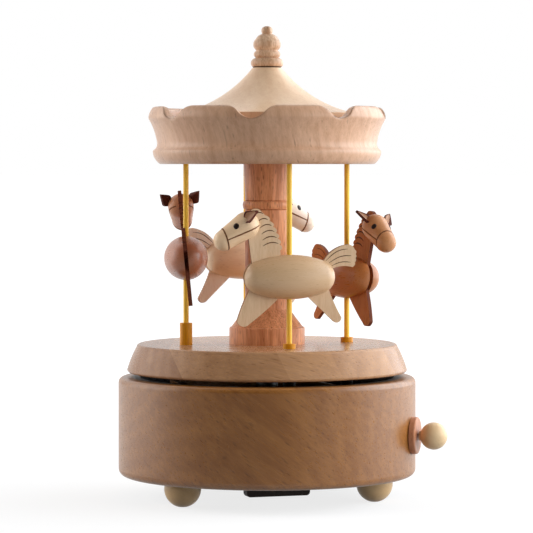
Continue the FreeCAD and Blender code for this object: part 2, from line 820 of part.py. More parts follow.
outer_side = spiral(S.spring_thickness.value / 2)
inner_side = spiral(-S.spring_thickness.value / 2)
ends = [Part.makeLine(outer_side[end].Vertexes[end].Point, inner_side[end].Vertexes[end].Point)
        for end in (0, -1)]
strip = Part.Face(Part.Wire(Part.__sortEdges__(outer_side + inner_side + ends)))
mainspring = doc.addObject("Part::Feature", "mainspring")
mainspring.Shape = strip.extrude(V(0, 0, S.spring_height.value))
place(mainspring, 0.0, 0.0, barrel_bottom + S.barrel_wall + 0.3)
node(mainspring, "mainspring")

# turntable shaft and the flanged hub screwed under the platform
shaft_bottom = crown_root + 0.3
shaft_top = platform_bottom - 0.2
node(cylinder("shaft", S.shaft_radius, (0.0, 0.0, shaft_bottom), shaft_top - shaft_bottom), "turntable_shaft")
hub = turned("turntable_hub", [
    (S.shaft_radius + S.glue_gap, platform_bottom - S.hub_thickness - S.hub_boss_height),
    (S.boss_radius, platform_bottom - S.hub_thickness - S.hub_boss_height),
    (S.boss_radius, platform_bottom - S.hub_thickness),
    (S.hub_radius, platform_bottom - S.hub_thickness),
    (S.hub_radius, platform_bottom),
    (S.shaft_radius + S.glue_gap, platform_bottom),
])
drill(hub, "hub_holes", hub_screw_places, S.screw_radius + S.slide_gap,
      platform_bottom - S.hub_thickness - 1.0, S.hub_thickness + 2.0)
node(hub, "turntable_hub")


def screw(name, x, y, seat, upward):
    """Pan head screw whose head bears on the seat; the shank points up or down."""
    way = 1.0 if upward else -1.0
    body = turned(name, [
        (0.0, S.screw_length * way),
        (S.screw_radius, S.screw_length * way),
        (S.screw_radius, 0.0),
        (S.screw_head_radius, 0.0),
        (S.screw_head_radius, -S.screw_head_height * way),
        (0.0, -S.screw_head_height * way),
    ])
    return place(body, x, y, seat)


node(group("hub_screw_set", [
    screw(f"hub_screw_{number}", x, y, platform_bottom - S.hub_thickness, True)
    for number, (x, y) in enumerate(hub_screw_places)]), "hub_screws")

# bedplate with the posts of the train, the comb seat and the bores
cylinder_post = (cylinder_level + 2.2, 1.7)
second_post = (second_level + 1.4, 1.3)
wheel_end = wheel_start + S.wheel_width
worm_wheel_end = worm_wheel_start + S.wheel_width
bed_blocks = [
    box("bed_floor", (-S.barrel_radius - 2.0, worm_u - 3.0), (bed_edge_v, comb_end), (floor_top, bed_top)),
    box("bed_nose", (worm_u - 4.0, bed_edge_u), (bed_edge_v, 3.0), (floor_top, bed_top)),
    box("comb_pillar", (cylinder_start, cylinder_end), (comb_root, comb_end), (floor_top, comb_seat)),
]
post_plan = [
    ("inner_post", barrel_post, cylinder_start - 0.4, 0.0, cylinder_post),
    ("outer_post", wheel_end + 1.0, wheel_end + 2.2, 0.0, cylinder_post),
    ("second_inner_post", cylinder_end + 0.4, wheel_start - 0.4, second_v, second_post),
    ("second_outer_post", worm_wheel_end + 1.2, worm_wheel_end + 2.4, second_v, second_post),
]
for name, start, end, v, (top, half_width) in post_plan:
    bed_blocks.append(box(name, (start, end), (v - half_width, v + half_width), (floor_top, top)))
screw_reach = S.screw_length + 0.5
bed_bores = [
    cylinder("arbor_bore", S.arbor_radius + S.run_gap, (0.0, 0.0, floor_top - 1.0),
             S.bedplate_thickness + 2.0),
    cylinder("cylinder_bore", S.cylinder_arbor_radius + S.run_gap, (0.0, 0.0, cylinder_level),
             bed_edge_u + 2.0, "x"),
    cylinder("second_bore", S.second_arbor_radius + S.run_gap, (cylinder_end - 1.0, second_v, second_level),
             12.0, "x"),
    cylinder("governor_bore", S.pivot_radius + S.run_gap, (worm_u, worm_v, floor_top + 0.5),
             S.bedplate_thickness + 1.0),
    cylinder("bracket_screw_bore", S.screw_radius + S.glue_gap, (*bracket_screw, floor_top - 1.0),
             S.bedplate_thickness + 2.0),
]
for number, (u, v) in enumerate(comb_screws):
    bed_bores.append(cylinder(f"comb_screw_bore_{number}", S.screw_radius + S.glue_gap,
                              (u, v, comb_seat - screw_reach), screw_reach + 1.0))
for number, (u, v) in enumerate(bed_screws):
    bed_bores.append(cylinder(f"bed_screw_bore_{number}", S.screw_radius + S.glue_gap,
                              (u, v, floor_top - 1.0), S.bedplate_thickness + 2.0))
bedplate = doc.addObject("Part::Common", "bedplate")
bedplate.Base = cut("bed_bored", fuse("bed_casting", bed_blocks), bed_bores)
bedplate.Tool = cylinder("bed_room", cavity_radius - S.bed_wall_gap, (0.0, 0.0, S.foot_height), S.base_height)
node(place(bedplate, 0.0, 0.0, 0.0, movement_turn), "bedplate")

bed_screw_length = S.base_floor - S.screw_head_height + S.bedplate_thickness
bed_screw_bodies = []
for number, (x, y) in enumerate(bed_screw_places):
    head = cylinder(f"bed_screw_head_{number}", S.screw_head_radius, (x, y, S.foot_height),
                    S.screw_head_height)
    shank = cylinder(f"bed_screw_shank_{number}", S.screw_radius,
                     (x, y, S.foot_height + S.screw_head_height - 0.1), bed_screw_length)
    bed_screw_bodies.append(fuse(f"bed_screw_{number}", [head, shank]))
node(group("bed_screw_set", bed_screw_bodies), "bedplate_screws")

# comb: plate with sawn teeth reaching over to the cylinder pins
comb = new_body("comb")
comb_plate = draw(sketch(comb, "XY_Plane", "comb_plate", comb_seat), [
    (cylinder_start, comb_tip), (cylinder_end, comb_tip),
    (cylinder_end, comb_end), (cylinder_start, comb_end)])
pad(comb, comb_plate, S.comb_thickness)
tooth_pitch = S.cylinder_length / COMB_TEETH
first_slot = cylinder_start + tooth_pitch
comb_slot = draw(sketch(comb, "XY_Plane", "comb_slot", comb_seat - 1.0), [
    (first_slot - S.comb_slot / 2, comb_tip - 1.0), (first_slot + S.comb_slot / 2, comb_tip - 1.0),
    (first_slot + S.comb_slot / 2, comb_root), (first_slot - S.comb_slot / 2, comb_root)])
slot_cut = pocket(comb, comb_slot, S.comb_thickness + 2.0)
slots = comb.newObject("PartDesign::LinearPattern", "comb_slots")
slots.Originals = [slot_cut]
slots.Direction = (comb_slot, ["H_Axis"])
bind(slots, "Length", tooth_pitch * (COMB_TEETH - 2))
slots.Occurrences = COMB_TEETH - 1
comb.Tip = slots
drill(comb, "comb_screw_holes", comb_screws, S.screw_radius + S.slide_gap,
      comb_seat - 1.0, S.comb_thickness + 2.0)
node(place(comb, 0.0, 0.0, 0.0, movement_turn), "comb")

# bracket that carries the upper pivot of the governor
bracket_top = second_level + worm_lead * 2.6
bracket_u = (worm_u - 2.0, worm_u + 2.0)
bracket = cut("governor_bracket", fuse("bracket_strip", [
    box("bracket_foot", (worm_u - 8.0, worm_u + 2.0), (bracket_outer, bracket_outer + 2.4),
        (bed_top, bed_top + bracket_foot)),
    box("bracket_post", bracket_u, (bracket_outer, bracket_outer + 2.4), (bed_top, bracket_top + 1.2)),
    box("bracket_arm", bracket_u, (bracket_outer, worm_v + 1.8), (bracket_top, bracket_top + 1.2)),
]), [
    cylinder("bracket_pivot_bore", S.pivot_radius + S.run_gap, (worm_u, worm_v, bracket_top - 1.0), 4.0),
    cylinder("bracket_screw_hole", S.screw_radius + S.slide_gap, (*bracket_screw, bed_top - 1.0),
             bracket_foot + 2.0),
])
node(place(bracket, 0.0, 0.0, 0.0, movement_turn), "governor_bracket")

comb_top = comb_seat + S.comb_thickness
small_screws = [screw(f"comb_screw_{number}", *turn_point(u, v, movement_turn), comb_top, False)
                for number, (u, v) in enumerate(comb_screws)]
small_screws.append(screw("bracket_screw", *turn_point(*bracket_screw, movement_turn),
                          bed_top + bracket_foot, False))
node(group("small_screw_set", small_screws), "movement_screws")


def add_gear(body, name, teeth, module, start, phase):
    """Toothed wheel across the X axis with its first tooth at the phase angle."""
    pitch_radius = module * (teeth / 2)
    root_radius = pitch_radius - module * DEDENDUM
    height = module * (ADDENDUM + DEDENDUM)
    disc = draw_circles(sketch(body, "YZ_Plane", name + "_disc", start), [(0.0, 0.0)], root_radius)
    pad(body, disc, S.wheel_width)
    corners = [turn_point(level, across, phase)
               for across, level in tooth_corners(module, height, root_radius)]
    tooth = draw(sketch(body, "YZ_Plane", name + "_tooth", start), corners)
    polar(body, pad(body, tooth, S.wheel_width), "X_Axis", teeth)


def add_rod(body, name, radius, start, end):
    rod = draw_circles(sketch(body, "YZ_Plane", name, start), [(0.0, 0.0)], radius)
    pad(body, rod, as_size(end) - start)


# cylinder arbor with the crown pinion at one end and the first wheel at the other
mesh_angle = 180.0 - S.second_rise
cylinder_arbor = new_body("cylinder_arbor")
pinion_start = S.crown_mean_radius - S.wheel_width / 2
add_rod(cylinder_arbor, "cylinder_rod", S.cylinder_arbor_radius, pinion_start - 0.4, wheel_end + 2.1)
pinion_phase = 180.0 / PINION_TEETH - 90.0
add_gear(cylinder_arbor, "crown_pinion", PINION_TEETH, crown_module, pinion_start, pinion_phase)
add_gear(cylinder_arbor, "cylinder_wheel", WHEEL_TEETH, S.train_module, wheel_start, mesh_angle)
node(place(cylinder_arbor, 0.0, 0.0, cylinder_level, movement_turn), "cylinder_arbor")

# music cylinder: drum with its pins, each row under one comb tooth
drum = Part.makeCylinder(S.cylinder_radius.value, S.cylinder_length.value, V(cylinder_start.value, 0, 0),
                         V(1, 0, 0))
drum_bore = Part.makeCylinder(S.cylinder_arbor_radius.value + S.glue_gap.value, S.cylinder_length.value + 2.0,
                              V(cylinder_start.value - 1.0, 0, 0), V(1, 0, 0))
pins = []
for number in range(COMB_TEETH * PINS_PER_TOOTH):
    row = number % COMB_TEETH
    u = cylinder_start.value + tooth_pitch.value * (row + 0.5)
    angle = math.radians(number * 137.5 + 40.0)
    outward = V(0, math.cos(angle), math.sin(angle))
    pins.append(Part.makeCylinder(S.pin_radius.value, S.pin_height.value + 0.6,
                                  V(u, 0, 0) + outward * (S.cylinder_radius.value - 0.6), outward))
music_cylinder = doc.addObject("Part::Feature", "music_cylinder")
music_cylinder.Shape = drum.cut(drum_bore).multiFuse(pins).removeSplitter()
node(place(music_cylinder, 0.0, 0.0, cylinder_level, movement_turn), "music_cylinder")

# second wheel: small pinion and worm wheel on one arbor
second_wheel = new_body("second_wheel")
add_rod(second_wheel, "second_rod", S.second_arbor_radius, cylinder_end + 0.5, worm_wheel_end + 2.3)
add_gear(second_wheel, "second_pinion", SECOND_PINION_TEETH, S.train_module, wheel_start,
         mesh_angle + 180.0 + 180.0 / SECOND_PINION_TEETH)
add_gear(second_wheel, "worm_wheel", WORM_WHEEL_TEETH, S.train_module, worm_wheel_start,
         180.0 + 180.0 / WORM_WHEEL_TEETH)
second_place = turn_point(0.0, second_v, movement_turn)
node(place(second_wheel, *second_place, second_level, movement_turn), "second_wheel")

# governor: worm cut on a vertical arbor, with a two winged fan below it
worm_core = S.worm_radius - S.train_module * DEDENDUM
governor = turned("governor_worm", [
    (0.0, floor_top + 0.6),
    (S.pivot_radius, floor_top + 0.6),
    (S.pivot_radius, bed_top + 0.3),
    (S.pivot_radius + 0.3, bed_top + 0.3),
    (S.pivot_radius + 0.3, worm_bottom),
    (worm_core, worm_bottom),
    (worm_core, worm_top),
    (S.pivot_radius, worm_top),
    (S.pivot_radius, bracket_top + 1.1),
    (0.0, bracket_top + 1.1),
])
thread_height = S.train_module * (ADDENDUM + DEDENDUM)
thread = draw(sketch(governor, "XZ_Plane", "thread"), [
    (worm_core - 0.1 + across, second_level - worm_lead * 2.25 + level)
    for level, across in ((-worm_lead * 0.22, 0.0), (-worm_lead * 0.1, thread_height + 0.1),
                          (worm_lead * 0.1, thread_height + 0.1), (worm_lead * 0.22, 0.0))])
worm_thread = governor.newObject("PartDesign::AdditiveHelix", "worm_thread")
worm_thread.Profile = thread
worm_thread.ReferenceAxis = (thread, ["V_Axis"])
worm_thread.Mode = 0
bind(worm_thread, "Pitch", worm_lead)
bind(worm_thread, "Height", worm_lead * 4.4)
node(place(governor, *turn_point(worm_u, worm_v, movement_turn), 0.0, movement_turn), "governor_worm")
fan_half = S.fan_thickness / 2
fan = cut("governor_fan", fuse("fan_leaf", [
    box("fan_wings", (-S.fan_radius + 0.05, S.fan_radius - 0.05), (-fan_half, fan_half), (0.0, S.fan_height)),
    cylinder("fan_hub", S.pivot_radius + 0.9, (0.0, 0.0, 0.0), S.fan_height),
]), [cylinder("fan_bore", S.pivot_radius + 0.3 + S.glue_gap, (0.0, 0.0, -1.0), S.fan_height + 2.0)])
node(place(fan, *turn_point(worm_u, worm_v, movement_turn), fan_bottom, 90.0), "governor_fan")

# cam ring: flange on the ledge of the base, inner wall sawn off at a slope
cam_inner = S.pole_circle + S.sleeve_radius + 0.4
cam_middle = cam_inner + S.cam_wall / 2
cam_mean = platform_top + (S.low_show + S.high_show) / 2 - S.sleeve_length
cam_slope = arc_tangent(S.stroke_half / cam_middle)
cam_blank = turned("cam_blank", [
    (cam_inner, cam_level),
    (upper_cavity_radius - S.glue_gap, cam_level),
    (upper_cavity_radius - S.glue_gap, cam_level + S.cam_flange),
    (cam_inner + S.cam_wall, cam_level + S.cam_flange),
    (cam_inner + S.cam_wall, platform_bottom),
    (cam_inner, platform_bottom),
])
slope_block = box("cam_slope_block", (-S.base_radius * 2, S.base_radius * 2),
                  (-S.base_radius * 2, S.base_radius * 2), (0.0, S.base_height))
slope_tilt = doc.addObject("Part::Compound", "cam_slope_tilt")
slope_tilt.Links = [slope_block]
slope_tilt.Placement = FreeCAD.Placement(V(0, 0, 0), FreeCAD.Rotation(V(0, 1, 0), 1.0))
bind(slope_tilt, "Placement.Rotation.Angle", -cam_slope)
slope_tool = group("cam_slope_tool", [slope_tilt])
bind(slope_tool, "Placement.Base.z", cam_mean)
cam_ring = cut("cam_ring", cam_blank, [slope_tool])
node(place(cam_ring, 0.0, 0.0, 0.0, S.pole_azimuth - 45.0 + 180.0), "cam_ring")


def rolled(name, item):
    """Lean a piece sideways about the long axis of the horse."""
    leaned = group(name, [item])
    leaned.Placement.Rotation = FreeCAD.Rotation(V(1, 0, 0), 1.0)
    bind(leaned, "Placement.Rotation.Angle", -S.horse_roll)
    return leaned


def horse_body(name):
    """Turned oval body sawn open at both ends, with the pole hole through its middle."""
    reach = S.horse_half_length - S.horse_end_round
    flank = ((reach * reach + S.horse_radius * S.horse_radius - S.horse_end_round * S.horse_end_round)
             / ((S.horse_radius - S.horse_end_round) * 2))
    join_x = reach * flank / (flank - S.horse_end_round)
    join_z = (flank - S.horse_radius) * S.horse_end_round / (flank - S.horse_end_round)
    body = turned(name + "_turned", [
        (-S.horse_half_length, 0.0), (-join_x, join_z), (join_x, join_z), (S.horse_half_length, 0.0),
    ], {0: (S.horse_end_round, -1), 1: (flank, -1), 2: (S.horse_end_round, -1)}, "H_Axis", "XY_Plane")
    depth = S.horse_radius + 1.0
    half_slot = S.plate_thickness / 2 + S.glue_gap
    end = S.horse_half_length + 1.0
    for side, start, finish in (("front", S.front_slot, end), ("rear", -end, -S.rear_slot)):
        slot = draw(sketch(body, "XY_Plane", f"{name}_{side}_slot", -depth), [
            (start, -half_slot), (finish, -half_slot), (finish, half_slot), (start, half_slot)])
        pocket(body, slot, depth * 2)
    hole = sketch(body, "XY_Plane", name + "_pole_hole", -depth * cosine(S.horse_roll))
    hole.AttachmentOffset.Rotation = FreeCAD.Rotation(V(1, 0, 0), 1.0)
    bind(hole, "AttachmentOffset.Rotation.Angle", S.horse_roll)
    bind(hole, "AttachmentOffset.Base.y", depth * sine(S.horse_roll))
    pocket(body, draw_circles(hole, [(0.0, 0.0)], S.pole_radius + S.glue_gap), depth * 2)
    return rolled(name, body)


def head_blank(name):
    """Turned egg: cranium and muzzle balls joined by a straight flank, axis along X."""
    lean = (S.cranium_radius - S.muzzle_radius) / S.head_length
    rise = root(1.0 - lean * lean)
    return turned(name, [
        (-S.cranium_radius, 0.0),
        (S.cranium_radius * lean, S.cranium_radius * rise),
        (S.head_length + S.muzzle_radius * lean, S.muzzle_radius * rise),
        (S.head_length + S.muzzle_radius, 0.0),
    ], {0: (S.cranium_radius, -1), 2: (S.muzzle_radius, -1)}, "H_Axis")


def tip_down(name, item):
    """Lean a head forward and carry it to its seat on the neck."""
    leaned = doc.addObject("Part::Compound", name)
    leaned.Links = [item]
    leaned.Placement = FreeCAD.Placement(V(0, 0, 0), FreeCAD.Rotation(V(0, 1, 0), 10.0))
    bind(leaned, "Placement.Rotation.Angle", S.head_drop)
    bind(leaned, "Placement.Base.x", S.head_forward)
    bind(leaned, "Placement.Base.z", S.head_up)
    return leaned


def horse_head(name):
    slot = box(name + "_slot", (0.0, S.head_forward + S.glue_gap),
               (-S.plate_thickness / 2 - S.glue_gap, S.plate_thickness / 2 + S.glue_gap),
               (0.0, S.head_up * 2))
    head = cut(name + "_sawn", tip_down(name + "_lean", head_blank(name + "_blank")), [slot])
    return rolled(name, head)


def plate(name, corners, arcs):
    """Flat plate standing in the middle plane of a horse."""
    body = new_body(name)
    outline = draw(sketch(body, "XZ_Plane", name + "_outline", -S.plate_thickness / 2), corners, arcs)
    pad(body, outline, S.plate_thickness)
    return rolled(name + "_roll", body)


def front_plate(name):
    """Neck with mane and forelock above, forelegs below, one tongue in the body slot."""
    length = S.horse_half_length / 16.9
    depth = S.horse_radius / 8.05
    tongue = S.front_slot + 0.4
    crest = S.head_up + S.cranium_radius
    return plate(name, [
        (tongue, 6.8 * depth),
        (tongue, -7.2 * depth),
        (14.4 * length, -16.7 * depth),
        (19.1 * length, -15.9 * depth),
        (14.3 * length, -3.6 * depth),
        (12.2 * length, 0.0),
        (14.0 * length, 4.2 * depth),
        (S.head_forward - 1.0, S.head_up - 5.4),
        (S.head_forward - 0.2, S.head_up),
        (S.head_forward - 1.0, crest + 0.2),
        (S.head_forward - 4.6, crest + 0.9),
    ], {1: (90.0 * length, 1), 2: (2.7 * length, 1), 3: (60.0 * length, 1), 9: (3.2, 1), 10: (24.0, 1)})


def rear_plate(name):
    """Leaf shaped tail above, hind legs below, one tongue in the body slot."""
    length = S.horse_half_length / 16.9
    depth = S.horse_radius / 8.05
    tongue = -S.rear_slot - 0.4
    return plate(name, [
        (tongue, 4.0 * depth),
        (-12.0 * length, 5.0 * depth),
        (-20.6 * length, 11.5 * depth),
        (-24.2 * length, 9.6 * depth),
        (-23.6 * length, 3.4 * depth),
        (-15.0 * length, 2.6 * depth),
        (-12.8 * length, 0.0),
        (-14.4 * length, -3.6 * depth),
        (-19.8 * length, -14.9 * depth),
        (-16.8 * length, -16.3 * depth),
        (-6.8 * length, -7.0 * depth),
        (tongue, -6.2 * depth),
    ], {1: (12.0 * length, 1), 2: (2.8 * length, 1), 3: (12.0 * length, 1), 4: (12.0 * length, -1),
        7: (60.0 * length, -1), 8: (1.8 * length, 1)})


def horse_ears(name):
    """Two leaf shaped ears trimmed to the round of the head."""
    ears = []
    bulge = (S.ear_length * S.ear_length / 4 + S.ear_half_width * S.ear_half_width) / (S.ear_half_width * 2)
    for side in (1, -1):
        leaf = new_body(f"{name}_leaf_{'left' if side > 0 else 'right'}")
        outline = draw(sketch(leaf, "XZ_Plane", leaf.Name + "_outline", -S.ear_thickness / 2),
                       [(0.0, 0.0), (0.0, S.ear_length)], {0: (bulge, 1), 1: (bulge, 1)})
        pad(leaf, outline, S.ear_thickness)
        tip_way = V(-0.66, 0.52 * side, 0.54)
        face_way = V(0.75, 0.43 * side, 0.5)
        leaf.Placement.Rotation = FreeCAD.Rotation(V(0, 0, 0), face_way, tip_way, "ZYX")
        bind(leaf, "Placement.Base.x", S.head_forward + S.cranium_radius * 0.37)
        bind(leaf, "Placement.Base.y", S.cranium_radius * (0.54 * side))
        bind(leaf, "Placement.Base.z", S.head_up + S.cranium_radius * 0.33)
        trim = tip_down(f"{leaf.Name}_trim", head_blank(leaf.Name + "_head"))
        ears.append(cut(leaf.Name + "_cut", leaf, [trim]))
    return rolled(name, group(name + "_pair", ears))


# four horses, each on its pole and sleeve, all heading the same way round
horse_plan = [
    ("right", S.low_show, S.right_seat, S.right_yaw),
    ("back", S.high_show, S.back_seat, S.back_yaw),
    ("left", S.high_show, S.left_seat, S.left_yaw),
    ("front", S.low_show, S.front_seat, S.front_yaw),
]
lowest_show = (S.low_show + S.high_show) / 2 - S.stroke_half
pole_reach = S.column_height + S.pole_grip - lowest_show + S.sleeve_length
for (name, show, seat, yaw), angle, (x, y) in zip(horse_plan, pole_angles, pole_places):
    sleeve_top = platform_top + show
    sleeve_bottom = sleeve_top - S.sleeve_length
    sleeve = cut(f"{name}_sleeve_tube",
                 cylinder(f"{name}_sleeve_rod", S.sleeve_radius, (x, y, sleeve_bottom), S.sleeve_length),
                 [cylinder(f"{name}_sleeve_bore", S.pole_radius + S.glue_gap, (x, y, sleeve_bottom + 1.0),
                           S.sleeve_length)])
    node(sleeve, f"{name}_sleeve")
    node(cylinder(f"{name}_pole_rod", S.pole_radius, (x, y, sleeve_bottom + 1.0), pole_reach - 1.0),
         f"{name}_pole")
    heading = angle - 90.0 + yaw
    pieces = [
        (horse_body, "body"), (horse_head, "head"), (front_plate, "front_plate"),
        (rear_plate, "rear_plate"), (horse_ears, "ears"),
    ]
    for make, piece in pieces:
        label = f"{name}_horse_{piece}"
        node(place(group(label, [make(label + "_blank")]), x, y, sleeve_top + seat, heading), label)

doc.recompute()
for item in doc.Objects:
    if "Invalid" in item.State or "Error" in item.State:
        raise RuntimeError(f"{item.Label} did not compute: {item.State}")
for item in nodes:
    if item.Shape.isNull() or not item.Shape.isValid() or not item.Shape.Solids:
        raise RuntimeError(f"{item.Label} has no valid solid")

os.makedirs("parts", exist_ok=True)
for item in nodes:
    item.Shape.exportStep(f"parts/{item.Label}.step")
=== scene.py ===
"""Looks of a wooden carousel music box: turned beech, painted poles and four engraved horses."""

import json
import math

import bmesh
import bpy
from mathutils import Matrix, Vector
from mathutils.bvhtree import BVHTree


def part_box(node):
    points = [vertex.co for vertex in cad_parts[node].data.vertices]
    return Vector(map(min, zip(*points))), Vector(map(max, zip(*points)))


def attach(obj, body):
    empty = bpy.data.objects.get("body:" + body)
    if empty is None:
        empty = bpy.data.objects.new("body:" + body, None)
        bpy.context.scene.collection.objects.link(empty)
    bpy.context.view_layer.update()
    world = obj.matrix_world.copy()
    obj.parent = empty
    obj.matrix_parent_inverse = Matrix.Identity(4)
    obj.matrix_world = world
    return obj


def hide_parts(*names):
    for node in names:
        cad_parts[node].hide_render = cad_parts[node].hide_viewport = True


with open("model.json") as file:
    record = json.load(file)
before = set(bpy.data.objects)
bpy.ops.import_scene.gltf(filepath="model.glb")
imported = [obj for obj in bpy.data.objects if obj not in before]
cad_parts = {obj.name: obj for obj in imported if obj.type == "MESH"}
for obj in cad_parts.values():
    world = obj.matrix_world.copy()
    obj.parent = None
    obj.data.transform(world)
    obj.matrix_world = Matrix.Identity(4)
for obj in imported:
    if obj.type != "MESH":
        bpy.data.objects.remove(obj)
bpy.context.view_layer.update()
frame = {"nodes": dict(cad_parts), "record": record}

NODES = frame["nodes"]
MM = 0.001

# camera of the photograph: turn from the front in degrees, places in metres, lens in millimetres
VIEW_AZIMUTH = 15.0
CAMERA_DISTANCE = 0.999
CAMERA_HEIGHT = 0.123
CAMERA_AIM = 0.0857
CAMERA_ASIDE = -0.0002
CAMERA_LENS = 182.4

VIEW_TURN = math.radians(VIEW_AZIMUTH)
TOWARDS_CAMERA = Vector((math.sin(VIEW_TURN), -math.cos(VIEW_TURN), 0.0))
TO_THE_RIGHT = Vector((math.cos(VIEW_TURN), math.sin(VIEW_TURN), 0.0))
UP = Vector((0.0, 0.0, 1.0))


def srgb(red, green, blue):
    """Linear colour from the 0 to 255 values that a screen shows."""
    def linear(value):
        share = value / 255.0
        return share / 12.92 if share <= 0.04045 else ((share + 0.055) / 1.055) ** 2.4
    return (linear(red), linear(green), linear(blue), 1.0)


class Shading:
    """A shader node tree, with the few calls that it is written in."""

    def __init__(self, tree):
        self.tree = tree

    def feed(self, node, sockets):
        """Set each named or numbered input, or link it where the value is another node's output."""
        for name, value in sockets.items():
            if isinstance(value, bpy.types.NodeSocket):
                self.tree.links.new(value, node.inputs[name])
            else:
                node.inputs[name].default_value = value

    def add(self, kind, sockets=None, **settings):
        """New node of a kind, with its settings and its inputs."""
        node = self.tree.nodes.new("ShaderNode" + kind)
        for name, value in settings.items():
            setattr(node, name, value)
        self.feed(node, sockets or {})
        return node

    def math(self, operation, first, second):
        return self.add("Math", {0: first, 1: second}, operation=operation).outputs["Value"]

    def along(self, vector, way):
        """Length of a vector along one direction."""
        return self.add("VectorMath", {0: vector, 1: way}, operation="DOT_PRODUCT").outputs["Value"]

    def length(self, vector):
        return self.add("VectorMath", {0: vector}, operation="LENGTH").outputs["Value"]

    def spread(self, value, low, high, start=0.0, end=1.0):
        """Stretch the part of a value between low and high over the range from start to end."""
        return self.add("MapRange", {
            "Value": value, "From Min": low, "From Max": high, "To Min": start, "To Max": end,
        }, interpolation_type="SMOOTHSTEP").outputs["Result"]

    def mix(self, factor, first, second):
        """Blend two colours, each a plain colour or another node's output."""
        return self.add("Mix", {0: factor, 6: first, 7: second}, data_type="RGBA").outputs[2]


class Look(Shading):
    """One procedural material, written on its Principled shader."""

    def __init__(self, name, sockets):
        self.material = bpy.data.materials.new(name)
        self.material.use_nodes = True
        super().__init__(self.material.node_tree)
        self.shader = self.tree.nodes["Principled BSDF"]
        self.feed(self.shader, sockets)

    def place(self):
        """Object coordinates, which stay with the piece."""
        return self.add("TexCoord").outputs["Object"]

    def coordinates(self, axis, size, offset=(0.0, 0.0, 0.0)):
        """Object coordinates with Z along the grain axis, measured in the given feature size (mm)."""
        turn = Vector(axis).to_track_quat("Z", "Y").to_euler()
        return self.add("Mapping", {
            "Vector": self.place(), "Location": [value * MM for value in offset], "Rotation": turn,
            "Scale": [value * MM for value in size],
        }, vector_type="TEXTURE").outputs["Vector"]

    def noise(self, coordinates, detail=2.0, roughness=0.5):
        return self.add("TexNoise", {
            "Vector": coordinates, "Scale": 1.0, "Detail": detail, "Roughness": roughness, "Distortion": 0.0,
        }).outputs["Fac"]

    def bump(self, height, distance, strength=1.0, soften=0.0):
        """Relief whose full height is the given distance (mm), over edges eased by the soften radius (mm)."""
        relief = self.add("Bump", {"Height": height, "Distance": distance * MM, "Strength": strength})
        if soften:
            eased = self.add("Bevel", {"Radius": soften * MM}, samples=8)
            self.feed(relief, {"Normal": eased.outputs["Normal"]})
        self.feed(self.shader, {"Normal": relief.outputs["Normal"]})


# share of each figure in plain wood
PLAIN_FIGURE = {
    "rings": 0.10, "fibres": 0.40, "bands": 0.15, "clouds": 0.25, "flecks": 0.35, "veins": 0.0, "boards": 0.0,
}
# sizes and shifts of the wood's figure in millimetres, twice across the grain and then along it
RING_SIZE = (14.0, 14.0, 160.0)
RING_MIDDLE = (70.0, 31.0, 0.0)
CLOUD_SIZE = (9.0, 9.0, 40.0)
BAND_SIZE = (1.7, 1.7, 45.0)
FIBRE_SIZE = (0.5, 0.5, 7.0)
DASH_WIDTH = 0.8
DASH_LENGTH = 3.6
VEIN_SIZE = (1.0, 1.0, 400.0)
VEIN_SHIFT = (8.0, 3.0, 0.0)
VEIN_PATCH_SIZE = (10.0, 10.0, 60.0)
VEIN_PATCH_SHIFT = (3.0, 9.0, 2.0)
# height of the grain's relief in millimetres, its strength and the fibres' share of it
GRAIN_RELIEF = 0.04
GRAIN_STRENGTH = 0.4
FIBRE_RELIEF = 0.6


def year_rings(look, axis):
    """Wavy rings about a middle that lies beside the piece."""
    return look.add("TexWave", {
        "Vector": look.coordinates(axis, RING_SIZE, RING_MIDDLE),
        "Scale": 1.0, "Distortion": 4.0, "Detail": 2.0, "Detail Scale": 0.6, "Detail Roughness": 0.5,
    }, wave_type="RINGS", rings_direction="Z", wave_profile="SIN").outputs["Fac"]


def grain_dashes(look, axis, length):
    """Thin short dashes along the grain, in some places only."""
    cell = look.add("TexVoronoi", {
        "Vector": look.coordinates(axis, (DASH_WIDTH, DASH_WIDTH, length)), "Scale": 1.0, "Randomness": 1.0,
    }, feature="F1").outputs
    thin = look.spread(cell["Distance"], 0.12, 0.36, start=1.0, end=0.0)
    chance = look.add("SeparateColor", {"Color": cell["Color"]}).outputs["Red"]
    return look.math("MULTIPLY", thin, look.spread(chance, 0.3, 0.8))


def vein_lines(look, axis, amount):
    """A few long dark lines that run along the grain in patches."""
    streak = look.noise(look.coordinates(axis, VEIN_SIZE, VEIN_SHIFT), detail=1.0, roughness=0.4)
    patch = look.noise(look.coordinates(axis, VEIN_PATCH_SIZE, VEIN_PATCH_SHIFT))
    line = look.math("MULTIPLY", look.spread(streak, 0.64, 0.76), look.spread(patch, 0.44, 0.6))
    return look.math("MULTIPLY", line, amount)


# the platform's glued boards: the way across their slanted joints, their width (mm), the shift of the row
# as a share of its length, and the share of the dark tone in each board from left to right
BOARD_WAY = TO_THE_RIGHT * 0.89 + UP * 0.46
BOARD_WIDTH = 17.1
BOARD_SHIFT = 0.33
BOARDS = (0.8, 0.62, 0.3, 0.32, 0.15, 0.25, 0.45)


def board_tone(look, amount):
    """Glued boards with slanted joints, each a little darker or paler than the next."""
    across = look.along(look.place(), BOARD_WAY / (len(BOARDS) * BOARD_WIDTH * MM))
    ramp = look.add("ValToRGB", {"Fac": look.math("ADD", across, BOARD_SHIFT)})
    stops = ramp.color_ramp.elements
    ramp.color_ramp.interpolation = "CONSTANT"
    stops.remove(stops[1])
    for index, tone in enumerate(BOARDS):
        stop = stops.new(index / len(BOARDS)) if index else stops[0]
        stop.color = (tone, tone, tone, 1.0)
    return look.math("MULTIPLY", ramp.outputs["Color"], amount)


